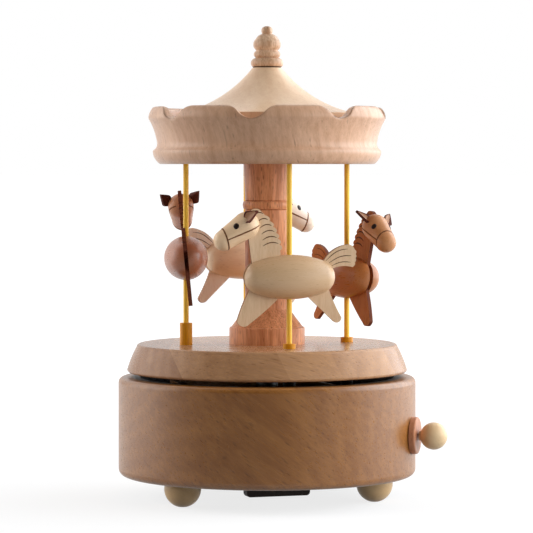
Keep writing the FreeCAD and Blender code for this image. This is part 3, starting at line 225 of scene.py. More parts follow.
def wood(name, tones, axis, shine=0.3, gloss=0.5, dash_length=DASH_LENGTH, soften=0.0, finish=None, **figure):
    """Close grained wood along one axis, from its pale, dark and fleck tones and the share of each figure."""
    pale, dark, fleck = tones
    share = {**PLAIN_FIGURE, **figure}
    look = Look(name, {"Specular IOR Level": gloss})
    cloud = look.noise(look.coordinates(axis, CLOUD_SIZE), detail=3.0, roughness=0.55)
    band = look.noise(look.coordinates(axis, BAND_SIZE), detail=2.0, roughness=0.5)
    fibre = look.noise(look.coordinates(axis, FIBRE_SIZE), detail=3.0, roughness=0.65)
    dash = grain_dashes(look, axis, dash_length)
    depth = look.math("MULTIPLY", year_rings(look, axis), share["rings"])
    for value, amount in ((fibre, "fibres"), (band, "bands"), (cloud, "clouds")):
        depth = look.math("ADD", depth, look.spread(value, 0.3, 0.7, end=share[amount]))
    if share["boards"]:
        depth = look.math("ADD", depth, board_tone(look, share["boards"]))
    colour = look.mix(depth, pale, dark)
    colour = look.mix(look.math("MULTIPLY", dash, share["flecks"]), colour, fleck)
    if share["veins"]:
        colour = look.mix(vein_lines(look, axis, share["veins"]), colour, fleck)
    if finish:
        colour = finish(look, colour)
    rough = look.spread(fibre, 0.25, 0.75, shine - 0.05, shine + 0.1)
    look.feed(look.shader, {"Base Color": colour, "Roughness": rough})
    relief = look.math("SUBTRACT", look.math("MULTIPLY", fibre, FIBRE_RELIEF), dash)
    look.bump(relief, GRAIN_RELIEF, GRAIN_STRENGTH, soften)
    return look.material


# painted shade: black that stands in for the shade inside the base and on its rim under the platform
PAINTED_SHADE_BLACK = srgb(20, 16, 16)
# painted shade: brown that stands in for the shade in the finial's joint and on the sleeves inside the base
PAINTED_SHADE_BROWN = srgb(30, 20, 14)
# sizes of soot, of a burn, of paint streaks and specks and of the film on metal, in millimetres
SOOT_SIZE = (0.8, 0.8, 0.8)
BURN_SIZE = (0.6, 0.6, 0.6)
STREAK_SIZE = (0.5, 0.5, 12.0)
SPECK_SIZE = (0.7, 0.7, 0.7)
FILM_SIZE = (5.0, 5.0, 5.0)


def sawn_edge(normal, burn):
    """Darkens the cut edge of a plate, where the surface turns away from the plate's own normal."""
    def finish(look, colour):
        facing = look.along(look.add("TexCoord").outputs["Normal"], normal)
        edge = look.spread(look.math("ABSOLUTE", facing, 0.0), 0.5, 0.85, start=1.0, end=0.0)
        soot = look.noise(look.coordinates(UP, SOOT_SIZE), detail=3.0, roughness=0.6)
        burnt = look.math("MULTIPLY", edge, look.spread(soot, 0.2, 0.7, start=0.75))
        return look.mix(burnt, colour, burn)
    return finish


def painted_gap_shade(radius, fade=3.0):
    """Paints shade in black over the inside and the covered part of the rim of a turned shell, out to a
    radius (mm).
    """
    def finish(look, colour):
        place = look.add("SeparateXYZ", {"Vector": look.place()}).outputs
        level = look.add("CombineXYZ", {"X": place["X"], "Y": place["Y"]}).outputs["Vector"]
        outward = look.spread(look.length(level), radius * MM, (radius + fade) * MM)
        return look.mix(outward, PAINTED_SHADE_BLACK, colour)
    return finish


def painted_shade_below(level, fade=0.5):
    """Paints shade in brown below the given level (mm), inside the base or in a joint."""
    def finish(look, colour):
        height = look.add("SeparateXYZ", {"Vector": look.place()}).outputs["Z"]
        return look.mix(look.spread(height, (level - fade) * MM, level * MM), PAINTED_SHADE_BROWN, colour)
    return finish


def gloss_paint(name, bright, deep, bloom, shine, finish=None):
    """Smooth paint or plastic with faint streaks along its length and small worn spots."""
    look = Look(name, {"Specular IOR Level": 0.4, "Coat Weight": 0.1, "Coat Roughness": 0.2})
    streak = look.noise(look.coordinates(UP, STREAK_SIZE), detail=3.0, roughness=0.6)
    speck = look.noise(look.coordinates(UP, SPECK_SIZE), detail=4.0, roughness=0.7)
    colour = look.mix(look.spread(streak, 0.3, 0.7), bright, deep)
    colour = look.mix(look.spread(speck, 0.62, 0.75, end=0.5), colour, bloom)
    if finish:
        colour = finish(look, colour)
    rough = look.spread(speck, 0.3, 0.7, shine, shine + 0.15)
    look.feed(look.shader, {"Base Color": colour, "Roughness": rough})
    look.bump(speck, distance=0.03, strength=0.3)
    return look.material


def metal(name, bright, deep, shine, axis, brushed):
    """Machined metal with fine scratches along one direction and a dull film in patches."""
    look = Look(name, {"Metallic": 1.0})
    scratch = look.noise(look.coordinates(axis, brushed), detail=3.0, roughness=0.65)
    film = look.noise(look.coordinates(UP, FILM_SIZE), detail=4.0, roughness=0.6)
    colour = look.mix(look.spread(scratch, 0.3, 0.7, end=0.5), bright, deep)
    colour = look.mix(look.spread(film, 0.45, 0.75, end=0.6), colour, deep)
    rough = look.spread(film, 0.3, 0.7, shine, shine + 0.2)
    look.feed(look.shader, {"Base Color": colour, "Roughness": rough})
    look.bump(scratch, distance=0.02, strength=0.4)
    return look.material


def burnt_line(name, deep, pale):
    """Scorched wood of an engraved line, patchy along its length."""
    look = Look(name, {"Specular IOR Level": 0.2})
    soot = look.noise(look.coordinates(UP, BURN_SIZE), detail=3.0, roughness=0.6)
    colour = look.mix(look.spread(soot, 0.35, 0.75), deep, pale)
    rough = look.spread(soot, 0.3, 0.7, 0.6, 0.85)
    look.feed(look.shader, {"Base Color": colour, "Roughness": rough})
    look.bump(soot, distance=0.03, strength=0.5)
    return look.material


# grain directions as the photograph shows them
SLANTED = TO_THE_RIGHT * 0.80 - UP * 0.60
LEVEL = TO_THE_RIGHT * 0.97 - UP * 0.24
STEEP = TO_THE_RIGHT * 0.17 - UP * 0.985

# where the looks change on a piece, in millimetres
# the base's painted shade reaches out to this radius
BASE_SHADE_RADIUS = 48.5
# painted shade lies below the sleeves' level and below the finial's level
SLEEVE_SHADE_LEVEL = 48.0
FINIAL_SHADE_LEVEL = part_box("roof")[1].z / MM + 0.7

# pale, dark and fleck tone of each wood
BASE_TONES = (srgb(174, 117, 58), srgb(142, 88, 36), srgb(94, 54, 20))
PLATFORM_TONES = (srgb(216, 168, 124), srgb(150, 104, 70), srgb(128, 82, 52))
COLUMN_TONES = (srgb(242, 174, 126), srgb(186, 118, 78), srgb(104, 58, 36))
CANOPY_TONES = (srgb(230, 187, 153), srgb(194, 144, 110), srgb(122, 74, 54))
ROOF_TONES = (srgb(250, 216, 180), srgb(230, 186, 146), srgb(186, 142, 106))
FINIAL_TONES = (srgb(244, 210, 176), srgb(192, 146, 110), srgb(156, 108, 78))
PALE_TONES = (srgb(230, 194, 144), srgb(206, 164, 114), srgb(164, 122, 78))
KNOB_TONES = (srgb(246, 214, 168), srgb(226, 188, 140), srgb(184, 140, 96))
COLLAR_TONES = (srgb(206, 144, 108), srgb(176, 116, 82), srgb(132, 80, 54))
CREAM_TONES = (srgb(224, 189, 149), srgb(205, 165, 122), srgb(174, 130, 92))
LIGHT_CREAM_TONES = (srgb(255, 222, 184), srgb(238, 198, 154), srgb(190, 146, 106))
WHEAT_TONES = (srgb(234, 204, 170), srgb(213, 176, 137), srgb(184, 142, 108))
# painted light: the back horse is the same cream wood as the front one, and these three tones are made paler
# and whiter to stand in for light on its shaded side
BACK_HEAD_PAINTED_LIGHT_TONES = (srgb(246, 230, 212), srgb(232, 208, 184), srgb(196, 162, 132))
BACK_PLATE_PAINTED_LIGHT_TONES = (srgb(252, 240, 222), srgb(243, 224, 202), srgb(204, 174, 146))
BACK_BODY_PAINTED_LIGHT_TONES = (srgb(248, 222, 188), srgb(232, 197, 158), srgb(178, 130, 94))
BROWN_TONES = (srgb(188, 118, 64), srgb(158, 92, 45), srgb(104, 54, 28))
AMBER_TONES = (srgb(210, 148, 98), srgb(184, 120, 74), srgb(128, 74, 42))
TAN_TONES = (srgb(186, 119, 86), srgb(154, 92, 63), srgb(108, 60, 42))
HAZEL_TONES = (srgb(210, 145, 103), srgb(180, 116, 80), srgb(122, 70, 48))
EAR_TONES = (srgb(188, 140, 104), srgb(134, 88, 62), srgb(100, 60, 42))
BURNT_TONES = (srgb(106, 56, 44), srgb(72, 34, 24), srgb(50, 24, 18))

# bright, deep and bloom tone of each paint or plastic
POLE_TONES = (srgb(255, 208, 76), srgb(255, 194, 62), srgb(255, 212, 100))
SLEEVE_TONES = (srgb(226, 154, 22), srgb(202, 130, 10), srgb(228, 162, 36))
KEY_TONES = (srgb(36, 22, 14), srgb(26, 16, 10), srgb(50, 32, 20))
BLACK_TONES = (srgb(40, 40, 42), srgb(26, 26, 28), srgb(70, 70, 70))
EYE_TONES = (srgb(44, 30, 24), srgb(30, 20, 16), srgb(60, 44, 36))

# fine scratches of a brushed metal and the grain of a cast one, in millimetres
BRUSHED = (0.3, 0.3, 6.0)
CAST = (0.5, 0.5, 0.5)

MATERIALS = {
    # the base's inside and its rim under the platform carry painted shade in black
    "base_wood": wood(
        "base_wood", BASE_TONES, SLANTED, gloss=1.0, dash_length=7.0, rings=0.22, fibres=0.5, bands=0.45,
        clouds=0.2, flecks=0.6, finish=painted_gap_shade(BASE_SHADE_RADIUS)),
    "platform_wood": wood(
        "platform_wood", PLATFORM_TONES, LEVEL, shine=0.24, gloss=0.35, dash_length=6.0, fibres=0.36,
        bands=0.1, clouds=0.1, flecks=0.45, boards=0.85),
    "column_wood": wood("column_wood", COLUMN_TONES, UP, gloss=0.3, fibres=0.6, bands=0.35, flecks=0.6),
    "canopy_wood": wood(
        "canopy_wood", CANOPY_TONES, STEEP, gloss=0.7, soften=1.6, fibres=0.32, bands=0.3, flecks=0.12,
        veins=0.6),
    "roof_wood": wood("roof_wood", ROOF_TONES, UP, gloss=0.7, fibres=0.36, bands=0.25, flecks=0.14),
    # the finial's foot carries painted shade where it meets the roof
    "finial_wood": wood(
        "finial_wood", FINIAL_TONES, UP, fibres=0.6, bands=0.5, flecks=0.3,
        finish=painted_shade_below(FINIAL_SHADE_LEVEL)),
    "collar_wood": wood("collar_wood", COLLAR_TONES, UP, gloss=0.3),
    "knob_wood": wood("knob_wood", KNOB_TONES, SLANTED, fibres=0.25, flecks=0.12),
    "pale_wood": wood("pale_wood", PALE_TONES, SLANTED, fibres=0.25, flecks=0.12),
    "cream_wood": wood("cream_wood", CREAM_TONES, SLANTED, flecks=0.2),
    "brown_wood": wood("brown_wood", BROWN_TONES, SLANTED, flecks=0.3),
    "ear_inside": wood("ear_inside", EAR_TONES, UP, gloss=0.2),
    "ear_rim": wood("ear_rim", BURNT_TONES, UP, shine=0.55, gloss=0.15),
    "pole_paint": gloss_paint("pole_paint", *POLE_TONES, shine=0.32),
    # the sleeves carry painted shade below the platform
    "sleeve_plastic": gloss_paint(
        "sleeve_plastic", *SLEEVE_TONES, shine=0.36, finish=painted_shade_below(SLEEVE_SHADE_LEVEL)),
    "key_paint": gloss_paint("key_paint", *KEY_TONES, shine=0.7),
    "black_plastic": gloss_paint("black_plastic", *BLACK_TONES, shine=0.4),
    "eye_black": gloss_paint("eye_black", *EYE_TONES, shine=0.3),
    "steel": metal("steel", srgb(204, 204, 206), srgb(150, 150, 154), 0.25, UP, BRUSHED),
    "zinc": metal("zinc", srgb(196, 198, 202), srgb(140, 142, 148), 0.4, UP, CAST),
    "brass": metal("brass", srgb(224, 184, 104), srgb(170, 128, 60), 0.25, TO_THE_RIGHT, BRUSHED),
    "burnt_line": burnt_line("burnt_line", srgb(74, 42, 26), srgb(112, 70, 44)),
    "bridle_line": burnt_line("bridle_line", srgb(108, 68, 44), srgb(144, 96, 62)),
}


def dress(node, material):
    """Give a carried-over node its finish."""
    item = NODES[node]
    if not item.material_slots:
        item.data.materials.append(material)
    for place in item.material_slots:
        place.material = material


for subpart in frame["record"]["subparts"]:
    dress(subpart["node"], MATERIALS[subpart["material_slot"]])
dress("finial", MATERIALS["finial_wood"])
dress("knob_collar", MATERIALS["collar_wood"])
dress("stop_knob", MATERIALS["knob_wood"])


# each horse's turn about its pole and the lean of all, in degrees
HORSE_YAW = {"right": 16.0, "back": 5.0, "left": -13.0, "front": 0.0}
HORSE_ROLL = 5.5
HORSE_COAT = {"right": "brown", "back": "cream", "left": "brown", "front": "cream"}
EDGE_TONE = {"cream": srgb(150, 100, 66), "brown": srgb(104, 54, 40)}
# tones of each horse's turned body, of its head and of its sawn plates
HORSE_TONES = {
    "front": (CREAM_TONES, LIGHT_CREAM_TONES, WHEAT_TONES), "right": (BROWN_TONES, AMBER_TONES, BROWN_TONES),
    # the back horse's tones carry painted light
    "back": (BACK_BODY_PAINTED_LIGHT_TONES, BACK_HEAD_PAINTED_LIGHT_TONES, BACK_PLATE_PAINTED_LIGHT_TONES), "left": (TAN_TONES, HAZEL_TONES, TAN_TONES),
}

# the horses' details, in millimetres in a horse's own frame:
# X forward, Y to the left, Z up from the body's middle
PLATE_HALF = 0.7
LINE_STEPS = 12
BEHIND_MANE = -6.0
BEHIND_TAIL = -32.0

MANE_LINE_COUNT = 6
MANE_LINE_TOP = 22.95
MANE_LINE_PITCH = 2.16
MANE_LINE_INSET = 0.3
MANE_LINE_LENGTH = 3.4
MANE_LINE_GROWTH = 0.45
MANE_LINE_BOW = 0.55
MANE_LINE_HOOK = 0.85
MANE_LINE_HALF = {"cream": 0.25, "brown": 0.36}

# start, finish and bow of each line on the tail
TAIL_LINES = (
    ((-13.4, 5.9), (-21.4, 10.0), 1.2),
    ((-14.4, 4.9), (-22.8, 7.6), 1.0),
    ((-15.6, 4.0), (-22.6, 5.2), 0.7),
)
TAIL_LINE_HALF = 0.2

LOCK_STEPS = 8
LOCK_DEPTH = 1.0
LOCK_INSET = 0.02
LOCK_OUTSET = 0.05

# middle and forward way of the noseband's plane and of the strap's, and the strap's sweep in degrees
NOSEBAND_MIDDLE = (24.4, 0.0, 14.9)
NOSEBAND_WAY = (0.3, 0.954)
NOSEBAND_STEPS = 48
STRAP_MIDDLE = (18.0, 0.0, 16.57)
STRAP_WAY = (0.919, -0.394)
STRAP_START = 31.0
STRAP_SWEEP = 133.0
STRAP_STEPS = 24
BRIDLE_HALF = 0.4
RAY_REACH = 20.0

EYE_FORWARD = 21.0
EYE_LEVEL = 18.9
EYE_ASIDE = 12.0
EYE_CROWN = 0.28
# radius and rise of each ring of the eye's dome, from the crown out
EYE_RINGS = ((0.45, 0.25), (0.8, 0.14), (1.02, -0.02), (0.9, -0.3))
EYE_STRETCH = 1.1
EYE_STEPS = 20

EAR_ROOT = (18.0, 3.2, 20.1)
EAR_TIP = (14.5, 7.4, 24.4)
EAR_HALF_WIDTH = 2.4
EAR_TIP_HALF = 0.08
EAR_WIDEST = 0.4
EAR_THICKNESS = 0.9
EAR_CUP = 0.4
EAR_BACK_TAPER = 0.12
EAR_FACE_RISE = 0.34
EAR_ROWS = 14
EAR_COLUMNS = 8
# columns of the scorched rim along an ear's two edges, and its rows at the tip
EAR_RIM_FIRST = 2
EAR_RIM_LAST = 1
EAR_RIM_TIP = 2
# each ear's turn outward from straight ahead (degrees) and its drop (mm), left ear then right ear
EAR_SET = {
    "right": ((30.0, 0.0), (-32.0, 0.0)), "back": ((40.0, 0.0), (40.0, 0.0)),
    "left": ((42.0, 0.4), (42.0, 0.4)), "front": ((42.0, -0.5), (42.0, 1.5)),
}


def new_piece(name, mesh, body, slot, *materials):
    """Finish a mesh as a named piece that rides on a body."""
    bmesh.ops.recalc_face_normals(mesh, faces=mesh.faces)
    data = bpy.data.meshes.new(name)
    mesh.to_mesh(data)
    mesh.free()
    for material in materials:
        data.materials.append(material)
    piece = bpy.data.objects.new(name, data)
    bpy.context.scene.collection.objects.link(piece)
    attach(piece, body)
    return piece


class Horse:
    """One horse's own frame, with the surfaces of its parts to lay lines on."""

    def __init__(self, name):
        self.name = name
        self.body = name + "_horse"
        self.coat = HORSE_COAT[name]
        self.slot = self.coat + "_wood"
        low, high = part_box(name + "_pole")
        trunk_low, trunk_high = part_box(name + "_horse_body")
        pole = (low + high) / 2
        heading = math.degrees(math.atan2(pole.y, pole.x)) - 90.0 + HORSE_YAW[name]
        seat = Matrix.Translation((pole.x, pole.y, (trunk_low.z + trunk_high.z) / 2))
        turn = Matrix.Rotation(math.radians(heading), 4, "Z")
        lean = Matrix.Rotation(math.radians(-HORSE_ROLL), 4, "X")
        self.place = seat @ turn @ lean
        self.turn = self.place.to_3x3()

    def point(self, x, y, z):
        """A place on the horse, given in millimetres."""
        return self.place @ (Vector((x, y, z)) * MM)

    def way(self, x, y, z):
        return (self.turn @ Vector((x, y, z))).normalized()

    def surface(self, part):
        mesh = NODES[f"{self.name}_horse_{part}"].data
        return BVHTree.FromPolygons([v.co for v in mesh.vertices], [p.vertices for p in mesh.polygons])

    def rear_edge(self, surface, behind, level):
        """Where a plate's rear edge lies at a level, seen from a place behind it."""
        edge = surface.ray_cast(self.point(behind, 0.0, level), self.way(1, 0, 0))[0]
        return (self.place.inverted() @ edge).x / MM


def ribbon(mesh, path, normals, half_width, rise=0.05, sink=0.15, taper=0.4):
    """Low closed strip along a path on a surface, narrower towards its two ends (sizes in mm)."""
    profile = ((-1.0, -sink), (-0.6, rise), (0.6, rise), (1.0, -sink))
    rings = []
    last = len(path) - 1
    for index, (point, normal) in enumerate(zip(path, normals)):
        along = (path[min(index + 1, last)] - path[max(index - 1, 0)]).normalized()
        across = normal.cross(along).normalized()
        narrow = taper + (1.0 - taper) * min(1.0, 4.0 * min(index, last - index) / last)
        rings.append([mesh.verts.new(point + across * (side * half_width * narrow * MM) + normal * (up * MM))
                      for side, up in profile])
    for ring, following in zip(rings, rings[1:]):
        for corner in range(len(profile)):
            beside = (corner + 1) % len(profile)
            mesh.faces.new([ring[corner], ring[beside], following[beside], following[corner]])
    mesh.faces.new(rings[0])
    mesh.faces.new(rings[-1])


def plate_line(horse, mesh, places, half_width):
    """Strip for an engraved line on both sides of a plate, through places given as forward and level."""
    for side in (1, -1):
        path = [horse.point(forward, side * PLATE_HALF, level) for forward, level in places]
        ribbon(mesh, path, [horse.way(0, side, 0)] * len(path), half_width)


def mane_lines(horse):
    """Six hooked lines on each side of the neck, longer towards its foot."""
    mesh = bmesh.new()
    surface = horse.surface("front_plate")
    for index in range(MANE_LINE_COUNT):
        level = MANE_LINE_TOP - MANE_LINE_PITCH * index
        length = MANE_LINE_LENGTH + MANE_LINE_GROWTH * index
        start = horse.rear_edge(surface, BEHIND_MANE, level) + MANE_LINE_INSET
        places = []
        for step in range(LINE_STEPS + 1):
            share = step / LINE_STEPS
            lift = MANE_LINE_BOW * math.sin(math.pi * share ** 0.8) - MANE_LINE_HOOK * share ** 3
            places.append((start + length * share, level + lift))
        plate_line(horse, mesh, places, MANE_LINE_HALF[horse.coat])
    new_piece(horse.name + "_mane_lines", mesh, horse.body, horse.slot, MATERIALS["burnt_line"])


def tail_lines(horse):
    """Three bowed lines on each side of the tail, running from its root to its tip."""
    mesh = bmesh.new()
    for start, finish, bow in TAIL_LINES:
        places = []
        for step in range(LINE_STEPS + 1):
            share = step / LINE_STEPS
            forward = start[0] + (finish[0] - start[0]) * share
            level = start[1] + (finish[1] - start[1]) * share + bow * math.sin(math.pi * share)
            places.append((forward, level))
        plate_line(horse, mesh, places, TAIL_LINE_HALF)
    new_piece(horse.name + "_tail_lines", mesh, horse.body, horse.slot, MATERIALS["burnt_line"])


def locks(horse, material, hair, plate, behind, top, pitch, count, proud):
    """Small round locks down a plate's rear edge, seen from a place behind it (sizes in mm)."""
    mesh = bmesh.new()
    surface = horse.surface(plate)
    for index in range(count):
        outline = []
        for step in range(LOCK_STEPS + 1):
            share = step / LOCK_STEPS
            level = top - pitch * (index + share)
            edge = horse.rear_edge(surface, behind, level)
            outline.append((edge - LOCK_OUTSET - proud * math.sin(math.pi * share) ** 0.7, level))
        outline += [(x + LOCK_DEPTH, z) for x, z in reversed(outline)]
        faces = [[mesh.verts.new(horse.point(x, side * (PLATE_HALF - LOCK_INSET), z)) for x, z in outline]
                 for side in (1, -1)]
        mesh.faces.new(faces[0])
        mesh.faces.new(faces[1])
        for corner in range(len(outline)):
            beside = (corner + 1) % len(outline)
            mesh.faces.new([faces[0][corner], faces[0][beside], faces[1][beside], faces[1][corner]])
    new_piece(f"{horse.name}_{hair}_locks", mesh, horse.body, horse.slot, material)


def bridle(horse):
    """Noseband round the muzzle and a strap from it round the back of the head on each side."""
    mesh = bmesh.new()
    surface = horse.surface("head")

    def section(middle, forward, angles):
        """Points and normals where rays from a middle point, fanned in one plane, leave the head."""
        path, normals = [], []
        for angle in angles:
            way = horse.way(forward[0] * math.cos(angle), math.sin(angle), forward[1] * math.cos(angle))
            hit, normal, *_ = surface.ray_cast(horse.point(*middle) + way * (RAY_REACH * MM), -way)
            path.append(hit)
            normals.append(way if normal.dot(way) < 0.3 else normal)
        return path, normals

    round_muzzle = [2.0 * math.pi * step / NOSEBAND_STEPS for step in range(NOSEBAND_STEPS + 1)]
    ribbon(mesh, *section(NOSEBAND_MIDDLE, NOSEBAND_WAY, round_muzzle), BRIDLE_HALF, taper=1.0)
    for side in (1, -1):
        sweep = [side * math.radians(STRAP_START + STRAP_SWEEP * step / STRAP_STEPS)
                 for step in range(STRAP_STEPS + 1)]
        ribbon(mesh, *section(STRAP_MIDDLE, STRAP_WAY, sweep), BRIDLE_HALF, taper=0.7)
    new_piece(horse.name + "_bridle", mesh, horse.body, horse.slot, MATERIALS["bridle_line"])


def eyes(horse):
    """A small domed dot on each side of the head."""
    mesh = bmesh.new()
    surface = horse.surface("head")
    for side in (1, -1):
        outside = horse.point(EYE_FORWARD, side * EYE_ASIDE, EYE_LEVEL)
        hit, normal, *_ = surface.ray_cast(outside, horse.way(0, -side, 0))
        turn = normal.to_track_quat("Z", "Y").to_matrix()
        crown = mesh.verts.new(hit + normal * EYE_CROWN * MM)
        rings = []
        for radius, rise in EYE_RINGS:
            ring = []
            for step in range(EYE_STEPS):
                angle = 2.0 * math.pi * step / EYE_STEPS
                spot = Vector((radius * math.cos(angle), radius * EYE_STRETCH * math.sin(angle), rise)) * MM
                ring.append(mesh.verts.new(hit + turn @ spot))
            rings.append(ring)
        for step in range(EYE_STEPS):
            beside = (step + 1) % EYE_STEPS
            mesh.faces.new([crown, rings[0][step], rings[0][beside]])
            for ring, following in zip(rings, rings[1:]):
                mesh.faces.new([ring[step], following[step], following[beside], ring[beside]])
        mesh.faces.new(rings[-1])
    piece = new_piece(horse.name + "_eyes", mesh, horse.body, "black_plastic", MATERIALS["eye_black"])
    piece.data.shade_smooth()


def ear_half_width(share):
    """Half width along the ear: round at the root, straight sided to a sharp tip."""
    if share < EAR_WIDEST:
        leaf = math.sin(math.pi / 2 * share / EAR_WIDEST) ** 0.8
    else:
        leaf = ((1.0 - share) / (1.0 - EAR_WIDEST)) ** 0.9
    return max(EAR_HALF_WIDTH * leaf, EAR_TIP_HALF)


def ear_sheet(mesh, root, tip, face_way, wide_way, back):
    """Rows of points over one face of an ear, the given depth behind its inside (mm)."""
    length = (tip - root).length / MM
    tip_way = (tip - root).normalized()
    sheet = []
    for row in range(EAR_ROWS + 1):
        share = row / EAR_ROWS
        width = ear_half_width(share)
        line = []
        for column in range(EAR_COLUMNS + 1):
            across = 2.0 * column / EAR_COLUMNS - 1.0
            aside = width * across * (1.0 - EAR_BACK_TAPER * back)
            curl = EAR_CUP * width * across * across - back
            spot = tip_way * (length * share) + wide_way * aside + face_way * curl
            line.append(mesh.verts.new(root + spot * MM))
        sheet.append(line)
    return sheet


def ears(horse):
    """Two cupped leaves, pale inside and scorched along the rim and the back."""
    mesh = bmesh.new()
    rows, columns = EAR_ROWS, EAR_COLUMNS
    for side, (outward, drop) in zip((1, -1), EAR_SET[horse.name]):
        root, tip = [horse.point(x, side * y, z - drop) for x, y, z in (EAR_ROOT, EAR_TIP)]
        tip_way = (tip - root).normalized()
        turn = math.radians(outward)
        face_way = horse.way(math.cos(turn), side * math.sin(turn), EAR_FACE_RISE)
        face_way = (face_way - tip_way * face_way.dot(tip_way)).normalized()
        wide_way = face_way.cross(tip_way) * side
        inside = ear_sheet(mesh, root, tip, face_way, wide_way, 0.0)
        outside = ear_sheet(mesh, root, tip, face_way, wide_way, EAR_THICKNESS)
        for row in range(rows):
            for column in range(columns):
                rim = column < EAR_RIM_FIRST or column >= columns - EAR_RIM_LAST or row >= rows - EAR_RIM_TIP
                for sheet, dark in ((inside, rim), (outside, True)):
                    face = mesh.faces.new([sheet[row][column], sheet[row + 1][column],
                                           sheet[row + 1][column + 1], sheet[row][column + 1]])
                    face.material_index = int(dark)
                    face.smooth = True
        border = [(0, c) for c in range(columns)] + [(r, columns) for r in range(rows)]
        border += [(rows, columns - c) for c in range(columns)] + [(rows - r, 0) for r in range(rows)]
        for (row, column), (next_row, next_column) in zip(border, border[1:] + border[:1]):
            face = mesh.faces.new([inside[row][column], inside[next_row][next_column],
                                   outside[next_row][next_column], outside[row][column]])
            face.material_index = 1
    woods = (MATERIALS["ear_inside"], MATERIALS["ear_rim"])
    piece = new_piece(horse.name + "_ears", mesh, horse.body, horse.slot, *woods)
    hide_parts(horse.name + "_horse_ears")


def finish_horse(name):
    """Woods of one horse's turned and sawn parts, and the details that are laid on them."""
    horse = Horse(name)
    body_tones, head_tones, plate_tones = HORSE_TONES[name]
    forward, sideways = horse.way(1, 0, 0), horse.way(0, 1, 0)
    body_wood = wood(name + "_turned_wood", body_tones, forward, gloss=0.8, fibres=0.3, flecks=0.25)
    head_wood = wood(name + "_head_wood", head_tones, forward, fibres=0.3, flecks=0.2)
    plate_wood = wood(name + "_plate_wood", plate_tones, UP, shine=0.5, gloss=0.12, flecks=0.2,
                      finish=sawn_edge(sideways, EDGE_TONE[horse.coat]))
    dress(name + "_horse_body", body_wood)
    dress(name + "_horse_head", head_wood)
    dress(name + "_horse_front_plate", plate_wood)
    dress(name + "_horse_rear_plate", plate_wood)
    mane_lines(horse)
    locks(horse, plate_wood, "mane", "front_plate", BEHIND_MANE, top=22.5, pitch=2.12, count=6, proud=0.85)
    tail_lines(horse)
    locks(horse, plate_wood, "tail", "rear_plate", BEHIND_TAIL, top=9.7, pitch=1.5, count=4, proud=0.4)
    bridle(horse)
    eyes(horse)
    ears(horse)


for horse_name in HORSE_COAT:
    finish_horse(horse_name)


WHITE = (1.0, 1.0, 1.0, 1.0)
NEUTRAL_LIGHT = (1.0, 1.0, 1.0)
COOL_LIGHT = (0.87, 0.935, 1.0)
LAMP_AIM = UP * 0.09
FLOOR_REACH = 30.0


def seen_directly(shading):
    """One where a ray comes straight from the camera, a mirror or glass, zero elsewhere."""
    path = shading.add("LightPath").outputs
    direct = shading.math("MAXIMUM", path["Is Camera Ray"], path["Is Glossy Ray"])
    return shading.math("MAXIMUM", direct, path["Is Transmission Ray"])


def studio_world(ambient, front):
    """White backdrop behind and beside the object, falling to a dim room on the camera's side."""
    world = bpy.data.worlds.new("studio")
    world.use_nodes = True
    shading = Shading(world.node_tree)
    dim_way = (TOWARDS_CAMERA + UP * 0.5).normalized()
    facing = shading.along(shading.add("TexCoord").outputs["Generated"], dim_way)
    backdrop = shading.spread(facing, -0.2, 0.7, start=1.0, end=front)
    camera_ray = shading.add("LightPath").outputs["Is Camera Ray"]
    fill = shading.tree.nodes["Background"]
    shading.feed(fill, {"Color": WHITE, "Strength": shading.math("MULTIPLY", backdrop, ambient)})
    seen = shading.math("MAXIMUM", camera_ray, backdrop)
    white = shading.add("Background", {"Color": WHITE, "Strength": seen})
    chosen = shading.add("MixShader", {0: seen_directly(shading), 1: fill.outputs[0], 2: white.outputs[0]})
    shading.feed(shading.tree.nodes["World Output"], {"Surface": chosen.outputs[0]})
    bpy.context.scene.world = world


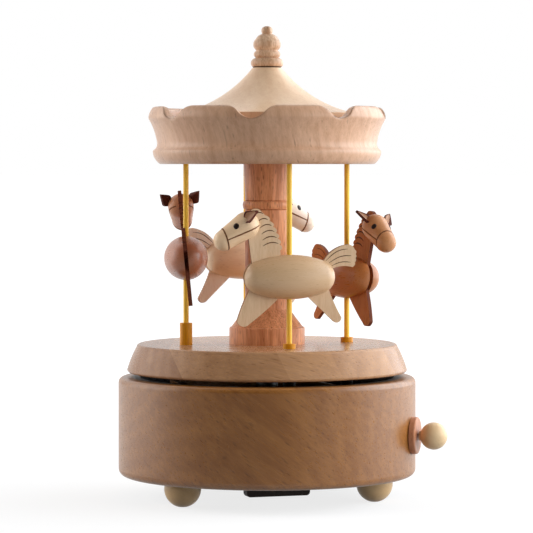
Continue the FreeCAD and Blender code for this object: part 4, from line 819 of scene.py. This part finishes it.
def studio_floor(bounce, glow, front):
    """Plain pale floor that keeps the object's shadow, dimmer in reflections on the camera's side."""
    corners = [(x * FLOOR_REACH, y * FLOOR_REACH, 0.0) for x, y in ((-1, -1), (1, -1), (1, 1), (-1, 1))]
    data = bpy.data.meshes.new("floor")
    data.from_pydata(corners, [], [(0, 1, 2, 3)])
    floor = bpy.data.objects.new("floor", data)
    bpy.context.scene.collection.objects.link(floor)
    look = Look("floor", {
        "Base Color": (bounce, bounce, bounce, 1.0), "Roughness": 0.9, "Specular IOR Level": 0.0,
        "Emission Color": WHITE})
    place = look.place()
    level = look.spread(look.length(place), 0.08, 0.7, start=glow)
    dimmed = look.spread(look.along(place, TOWARDS_CAMERA), -0.1, 0.2, start=1.0, end=front)
    mirrored = look.math("MULTIPLY", seen_directly(look), dimmed)
    camera_ray = look.add("LightPath").outputs["Is Camera Ray"]
    strength = look.math("MULTIPLY", look.math("MAXIMUM", camera_ray, mirrored), level)
    look.feed(look.shader, {"Emission Strength": strength})
    data.materials.append(look.material)


def softbox(name, turn, elevation, distance, width, power, colour=NEUTRAL_LIGHT, mirrored=True):
    """Soft lamp placed by its turn from the camera (right positive), mirrored or not in glossy surfaces."""
    data = bpy.data.lights.new(name, "AREA")
    data.shape = "SQUARE"
    data.size = width
    data.energy = power
    data.color = colour
    lamp = bpy.data.objects.new(name, data)
    bpy.context.scene.collection.objects.link(lamp)
    lamp.visible_glossy = mirrored
    aside, rise = math.radians(turn), math.radians(elevation)
    level = TOWARDS_CAMERA * math.cos(aside) + TO_THE_RIGHT * math.sin(aside)
    lamp.location = LAMP_AIM + (level * math.cos(rise) + UP * math.sin(rise)) * distance
    lamp.rotation_euler = (LAMP_AIM - lamp.location).to_track_quat("-Z", "Y").to_euler()


def photo_camera():
    """Camera at the photograph's angle and framing."""
    data = bpy.data.cameras.new("camera")
    data.lens = CAMERA_LENS
    camera = bpy.data.objects.new("camera", data)
    bpy.context.scene.collection.objects.link(camera)
    aside = TO_THE_RIGHT * CAMERA_ASIDE
    camera.location = TOWARDS_CAMERA * CAMERA_DISTANCE + UP * CAMERA_HEIGHT + aside
    aim = UP * CAMERA_AIM + aside
    camera.rotation_euler = (aim - camera.location).to_track_quat("-Z", "Y").to_euler()
    bpy.context.scene.camera = camera


studio_world(ambient=0.75, front=0.03)
studio_floor(bounce=0.25, glow=0.78, front=0.1)
softbox("right_wash", turn=100.0, elevation=12.0, distance=1.0, width=1.3, power=10.3, colour=COOL_LIGHT,
        mirrored=False)
softbox("right_softbox", turn=112.0, elevation=12.0, distance=1.0, width=1.5, power=13.8, colour=COOL_LIGHT)
softbox("left_wash", turn=-90.0, elevation=14.0, distance=1.0, width=0.9, power=7.2, mirrored=False)
softbox("left_softbox", turn=-105.0, elevation=14.0, distance=1.0, width=0.9, power=2.0)
softbox("front_wash", turn=52.0, elevation=10.0, distance=0.5, width=0.35, power=1.3, mirrored=False)
photo_camera()
bpy.context.scene.view_settings.view_transform = "Standard"
